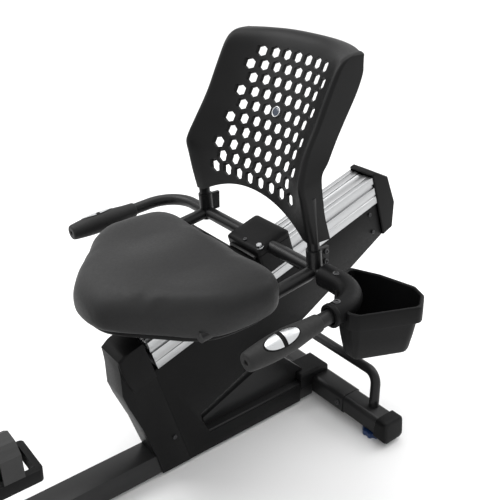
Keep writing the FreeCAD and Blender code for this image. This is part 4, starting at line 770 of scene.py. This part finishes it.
# The grip's outline from its rear end to the hole in its front end, as (share of its length, radius).
GRIP_SECTION = [(0.0, 15.0), (0.0, 16.6), (0.008, 17.6), (0.05, 18.0), (0.13, 18.6), (0.22, 20.2),
                (0.33, 22.4), (0.45, 23.8), (0.58, 24.2), (0.7, 23.6), (0.82, 21.8), (0.9, 20.2),
                (0.955, 19.0), (0.985, 18.0), (0.998, 15.8), (1.0, 12.0), (1.0, 6.2), (0.995, 5.2),
                (0.975, 5.0)]


def grip_frame(side):
    """The grip's rear end and front end on its axis."""
    y = side * HANDLE_HALF_SPAN
    return Vector((-376, y, 473.8)), Vector((-205, y, 459.7))


def make_grips():
    for name, side in SIDES.items():
        rear, front = grip_frame(side)
        run = front - rear
        along = run.normalized()
        rings = [circle_ring(rear + run * share, along, radius, 40) for share, radius in GRIP_SECTION]
        mesh = skin_mesh(f"grip_{name}_sleeve", rings)
        piece = show_piece(f"grip_{name}_sleeve", mesh, "grip_rubber", "seat_carriage", [f"grip_{name}"])
        add_modifier(piece, "SUBSURF", levels=1, render_levels=1)
        settle(piece, 40)


# ---------------------------------------------------------------- pulse plates

PLATE_MIDDLE = -280.0
PLATE_SIZE = (38.5, 15.0)    # half length and half width of the pair of plates
FRAME_SIZE = (42.0, 18.0)    # the same for the dark oval round them
RIB_HALF = 5.0               # half width of the rib between the two plates
PALM_RADIUS = 24.0


def grip_point(side, x, turn, lift):
    """A point on the grip's skin at x, turned round its axis from the plates' middle, lifted off the foam."""
    rear, front = grip_frame(side)
    share = (x - rear.x) / (front.x - rear.x)
    along = (front - rear).normalized()
    facing = Vector((0, side * 0.5, 0.87))
    facing = (facing - along * facing.dot(along)).normalized()
    across = along.cross(facing)
    radius = curve_value(GRIP_SECTION[2:15], share) + lift
    return rear + (front - rear) * share + (facing * math.cos(turn) + across * math.sin(turn)) * radius


def oval_sheet(name, side, size, lift, inside):
    """A sheet over an oval on the grip, lifted off the foam; inside says which lengths of it to keep."""
    long_half, wide_half = size
    columns, rows = 64, 24
    work = bmesh.new()
    before = None
    for i in range(columns + 1):
        x = -1 + 2 * i / columns
        reach = math.sqrt(max(0.0, 1 - abs(x) ** 2.3))
        line = []
        for j in range(rows + 1):
            y = (-1 + 2 * j / rows) * reach
            crown = 0.6 * (1 - (x * x + y * y))
            place = grip_point(side, PLATE_MIDDLE + x * long_half, y * wide_half / PALM_RADIUS, lift + crown)
            line.append(work.verts.new(place * MM))
        if before and inside((x - 1 / columns) * long_half):
            for j in range(rows):
                work.faces.new((before[j], line[j], line[j + 1], before[j + 1]))
        before = line
    bmesh.ops.delete(work, geom=[vertex for vertex in work.verts if not vertex.link_faces], context="VERTS")
    bmesh.ops.remove_doubles(work, verts=work.verts, dist=1e-5)
    bmesh.ops.recalc_face_normals(work, faces=work.faces)
    mesh = bpy.data.meshes.new(name)
    work.to_mesh(mesh)
    work.free()
    return mesh


def oval_piece(name, side, size, lift, thickness, inside, finish, nodes=()):
    mesh = oval_sheet(name, side, size, lift, inside)
    piece = show_piece(name, mesh, finish, "seat_carriage", nodes)
    outward = grip_point(side, PLATE_MIDDLE, 0, 0) - grip_point(side, PLATE_MIDDLE, math.pi, 0)
    facing = sum((polygon.normal for polygon in mesh.polygons), Vector()).dot(outward)
    add_modifier(piece, "SOLIDIFY", thickness=thickness * MM, offset=-1.0 if facing > 0 else 1.0)
    add_bevel(piece, 0.5, 2, 40)
    settle(piece, 50)


def make_pulse_plates():
    """Two bright plates on each grip with a dark rib between them, in a dark oval frame."""
    for name, side in SIDES.items():
        oval_piece(f"pulse_frame_{name}", side, FRAME_SIZE, 0.1, 1.5, lambda x: True, "black_plastic")
        oval_piece(f"pulse_plate_{name}_rear", side, PLATE_SIZE, 1.0, 2.0, lambda x: x < -RIB_HALF,
                   "bright_steel", ["pulse_plates"])
        oval_piece(f"pulse_plate_{name}_front", side, PLATE_SIZE, 1.0, 2.0, lambda x: x > RIB_HALF,
                   "bright_steel", ["pulse_plates"])


# ---------------------------------------------------------------- carriage cover

HOOD_PLAN = [(-64, -58), (30, -58), (30, 58), (-64, 58)]
# The hood's and the apron's walls from the bottom up, as (height off the rail's line, inset).
HOOD_LEVELS = [(-30, 0), (16, 0), (24, 0), (24.4, 1.2), (25.2, 1.2), (25.6, 0), (36, 0), (39, 2.2),
               (41.5, 5.5), (43, 10), (43, 24)]
APRON_PLAN = [(28, -53), (90, -53), (90, 53), (28, 53)]
APRON_LEVELS = [(-30, 0), (10, 0), (13.5, 1.5), (15.5, 4), (16, 8), (16, 22)]
# The bolt from its washer to the top of its head, as (height, radius, whether it is six-sided).
BOLT_PROFILE = [(0.0, 10.5, False), (0.8, 10.5, False), (0.8, 7.0, True), (5.2, 7.0, True), (6.0, 6.2, True),
                (6.2, 3.0, True)]
CROSS_TUBE = (-499, 483)
HOLE_FOR_TUBE = 14.8


def rail_point(along, y, off):
    """A point in the rail's frame, measured in millimetres from the middle of the carriage."""
    place = RAIL_START * 1000 + RAIL_ALONG * along + RAIL_UP * off
    return Vector((place.x, place.y + y, place.z))


def rail_rings(plan, levels, corner_radii):
    rings = []
    for off, inset in levels:
        ring = polygon_ring(inset_points(plan, inset), corner_radii(inset), 5, off)
        rings.append([tuple(rail_point(x, y, z)) for x, y, z in ring])
    return rings


def cap_top(mesh):
    """Closes the open ring at the top of a skin and leaves its bottom open."""
    work = bmesh.new()
    work.from_mesh(mesh)
    peak = HOOD_LEVELS[-1][0]
    rim = [edge for edge in work.edges if edge.is_boundary
           and (edge.verts[0].co * 1000 - RAIL_START * 1000).dot(RAIL_UP) > peak - 0.1]
    bmesh.ops.holes_fill(work, edges=rim, sides=0)
    bmesh.ops.recalc_face_normals(work, faces=work.faces)
    work.to_mesh(mesh)
    work.free()


def make_carriage_hood():
    """A chamfered hood with a seam round it, which the cross tube runs through."""
    mesh = skin_mesh("carriage_hood", rail_rings(HOOD_PLAN, HOOD_LEVELS, lambda inset: [9 + inset * 0.2] * 4))
    piece = show_piece("carriage_hood", mesh, "black_plastic", "seat_carriage", ["carriage_cover"])
    cap_top(mesh)
    add_modifier(piece, "SOLIDIFY", thickness=2.5 * MM, offset=-1.0)
    settle(piece, 28)
    x, z = CROSS_TUBE
    ends = [circle_ring(Vector((x, y, z)), Vector((0, 1, 0)), HOLE_FOR_TUBE, 40) for y in (-80, 80)]
    punch(piece, skin_mesh("hood_hole", ends, capped=True), 28)


def make_carriage_apron():
    rings = rail_rings(APRON_PLAN, APRON_LEVELS, lambda inset: [5, 10, 10, 5])
    mesh = skin_mesh("carriage_apron", rings, capped=True)
    settle(show_piece("carriage_apron", mesh, "black_plastic", "seat_carriage", ["carriage_cover"]), 28)


def hexagon_ring(ring, centre):
    """Pushes a round ring's points out to the six-sided outline round it."""
    sixth = math.pi / 3
    pushed = []
    for index, point in enumerate(ring):
        turn = (2 * math.pi * index / len(ring)) % sixth - sixth / 2
        pushed.append(tuple(centre + (Vector(point) - centre) * math.cos(sixth / 2) / math.cos(turn)))
    return pushed


def make_carriage_bolt():
    base = rail_point(14, 45, 40.5)
    rings = []
    for rise, radius, six_sided in BOLT_PROFILE:
        centre = base + RAIL_UP * rise
        ring = circle_ring(centre, RAIL_UP, radius, 24, up=Vector((0, 1, 0)))
        rings.append(hexagon_ring(ring, centre) if six_sided else ring)
    mesh = skin_mesh("carriage_bolt", rings, capped=True)
    settle(show_piece("carriage_bolt", mesh, "bright_steel", "seat_carriage"), 35)


# ---------------------------------------------------------------- foot caps

# A cap from its joint to its end, as (share of its length, growth over the stabilizer's outline).
CAP_STATIONS = [(0, -1.5), (0, 1.2), (0.02, 2.0), (0.5, 2.0), (0.86, 2.0), (0.94, 0.8), (0.985, -2.5),
                (1.0, -8)]
CAP_LAP = 20         # how far a cap reaches back over the stabilizer at its foot, and past it
CAP_SLANT = 6        # how much less far it reaches back at its top
END_SLOPE = 4        # how far its end leans in at its top


def make_foot_caps():
    """A cap over each end of both stabilizers, with a slanted joint and a rounded, sloping end."""
    for bar in ("rear", "front"):
        low, high = [corner / MM for corner in map(Vector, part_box(f"{bar}_stabilizer"))]
        outline = [(low.x, low.z), (high.x, low.z), (high.x, high.z), (low.x, high.z)]
        for name, side in SIDES.items():
            rings = []
            for share, growth in CAP_STATIONS:
                ring = []
                for x, z, _ in polygon_ring(inset_points(outline, -growth), [12] * 4, 5, 0):
                    height = (z - low.z) / (high.z - low.z)
                    start = high.y - CAP_LAP + CAP_SLANT * height
                    end = high.y + CAP_LAP - END_SLOPE * height
                    ring.append((x, side * between(start, end, share), z))
                rings.append(ring)
            mesh = skin_mesh(f"foot_cap_{bar}_{name}", rings, capped=True)
            settle(show_piece(f"foot_cap_{bar}_{name}", mesh, "black_plastic", "base", ["foot_caps"]), 30)


# ---------------------------------------------------------------- badge

BADGE_DISC = [(-3.0, 9.4), (2.4, 9.4), (2.9, 8.6), (3.1, 5.0), (3.2, 2.0)]
BADGE_RING = [(-3.0, 9.6), (2.2, 9.6), (3.4, 10.2), (3.6, 11.0), (3.4, 11.8), (2.4, 12.3), (-3.0, 12.3)]


def make_badge():
    """A navy disc in a silver ring, on the sheet where the honeycomb leaves out a hole."""
    low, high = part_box("backrest_badge")
    centre = (Vector(low) + Vector(high)) / 2 / MM
    out = Vector((math.cos(HOLE_LEAN), 0, math.sin(HOLE_LEAN)))
    base = sheet_point(centre.y, spine_share(centre.y, centre.z))
    for name, profile, finish, capped in (("badge_disc", BADGE_DISC, "badge_blue", True),
                                          ("badge_ring", BADGE_RING, "bright_steel", False)):
        rings = [circle_ring(base + out * rise, out, radius, 40, up=Vector((0, 1, 0)))
                 for rise, radius in profile]
        mesh = skin_mesh(name, rings, capped=capped)
        settle(show_piece(name, mesh, finish, "seat_carriage", ["backrest_badge"]), 35)


# ---------------------------------------------------------------- making

paint_nodes()
make_camera()
make_stage()
make_softened()
make_backrest()
make_cushion()
make_seat_pan()
make_bin()
make_elbow()
make_screws()
make_grips()
make_pulse_plates()
make_carriage_hood()
make_carriage_apron()
make_carriage_bolt()
make_foot_caps()
make_badge()
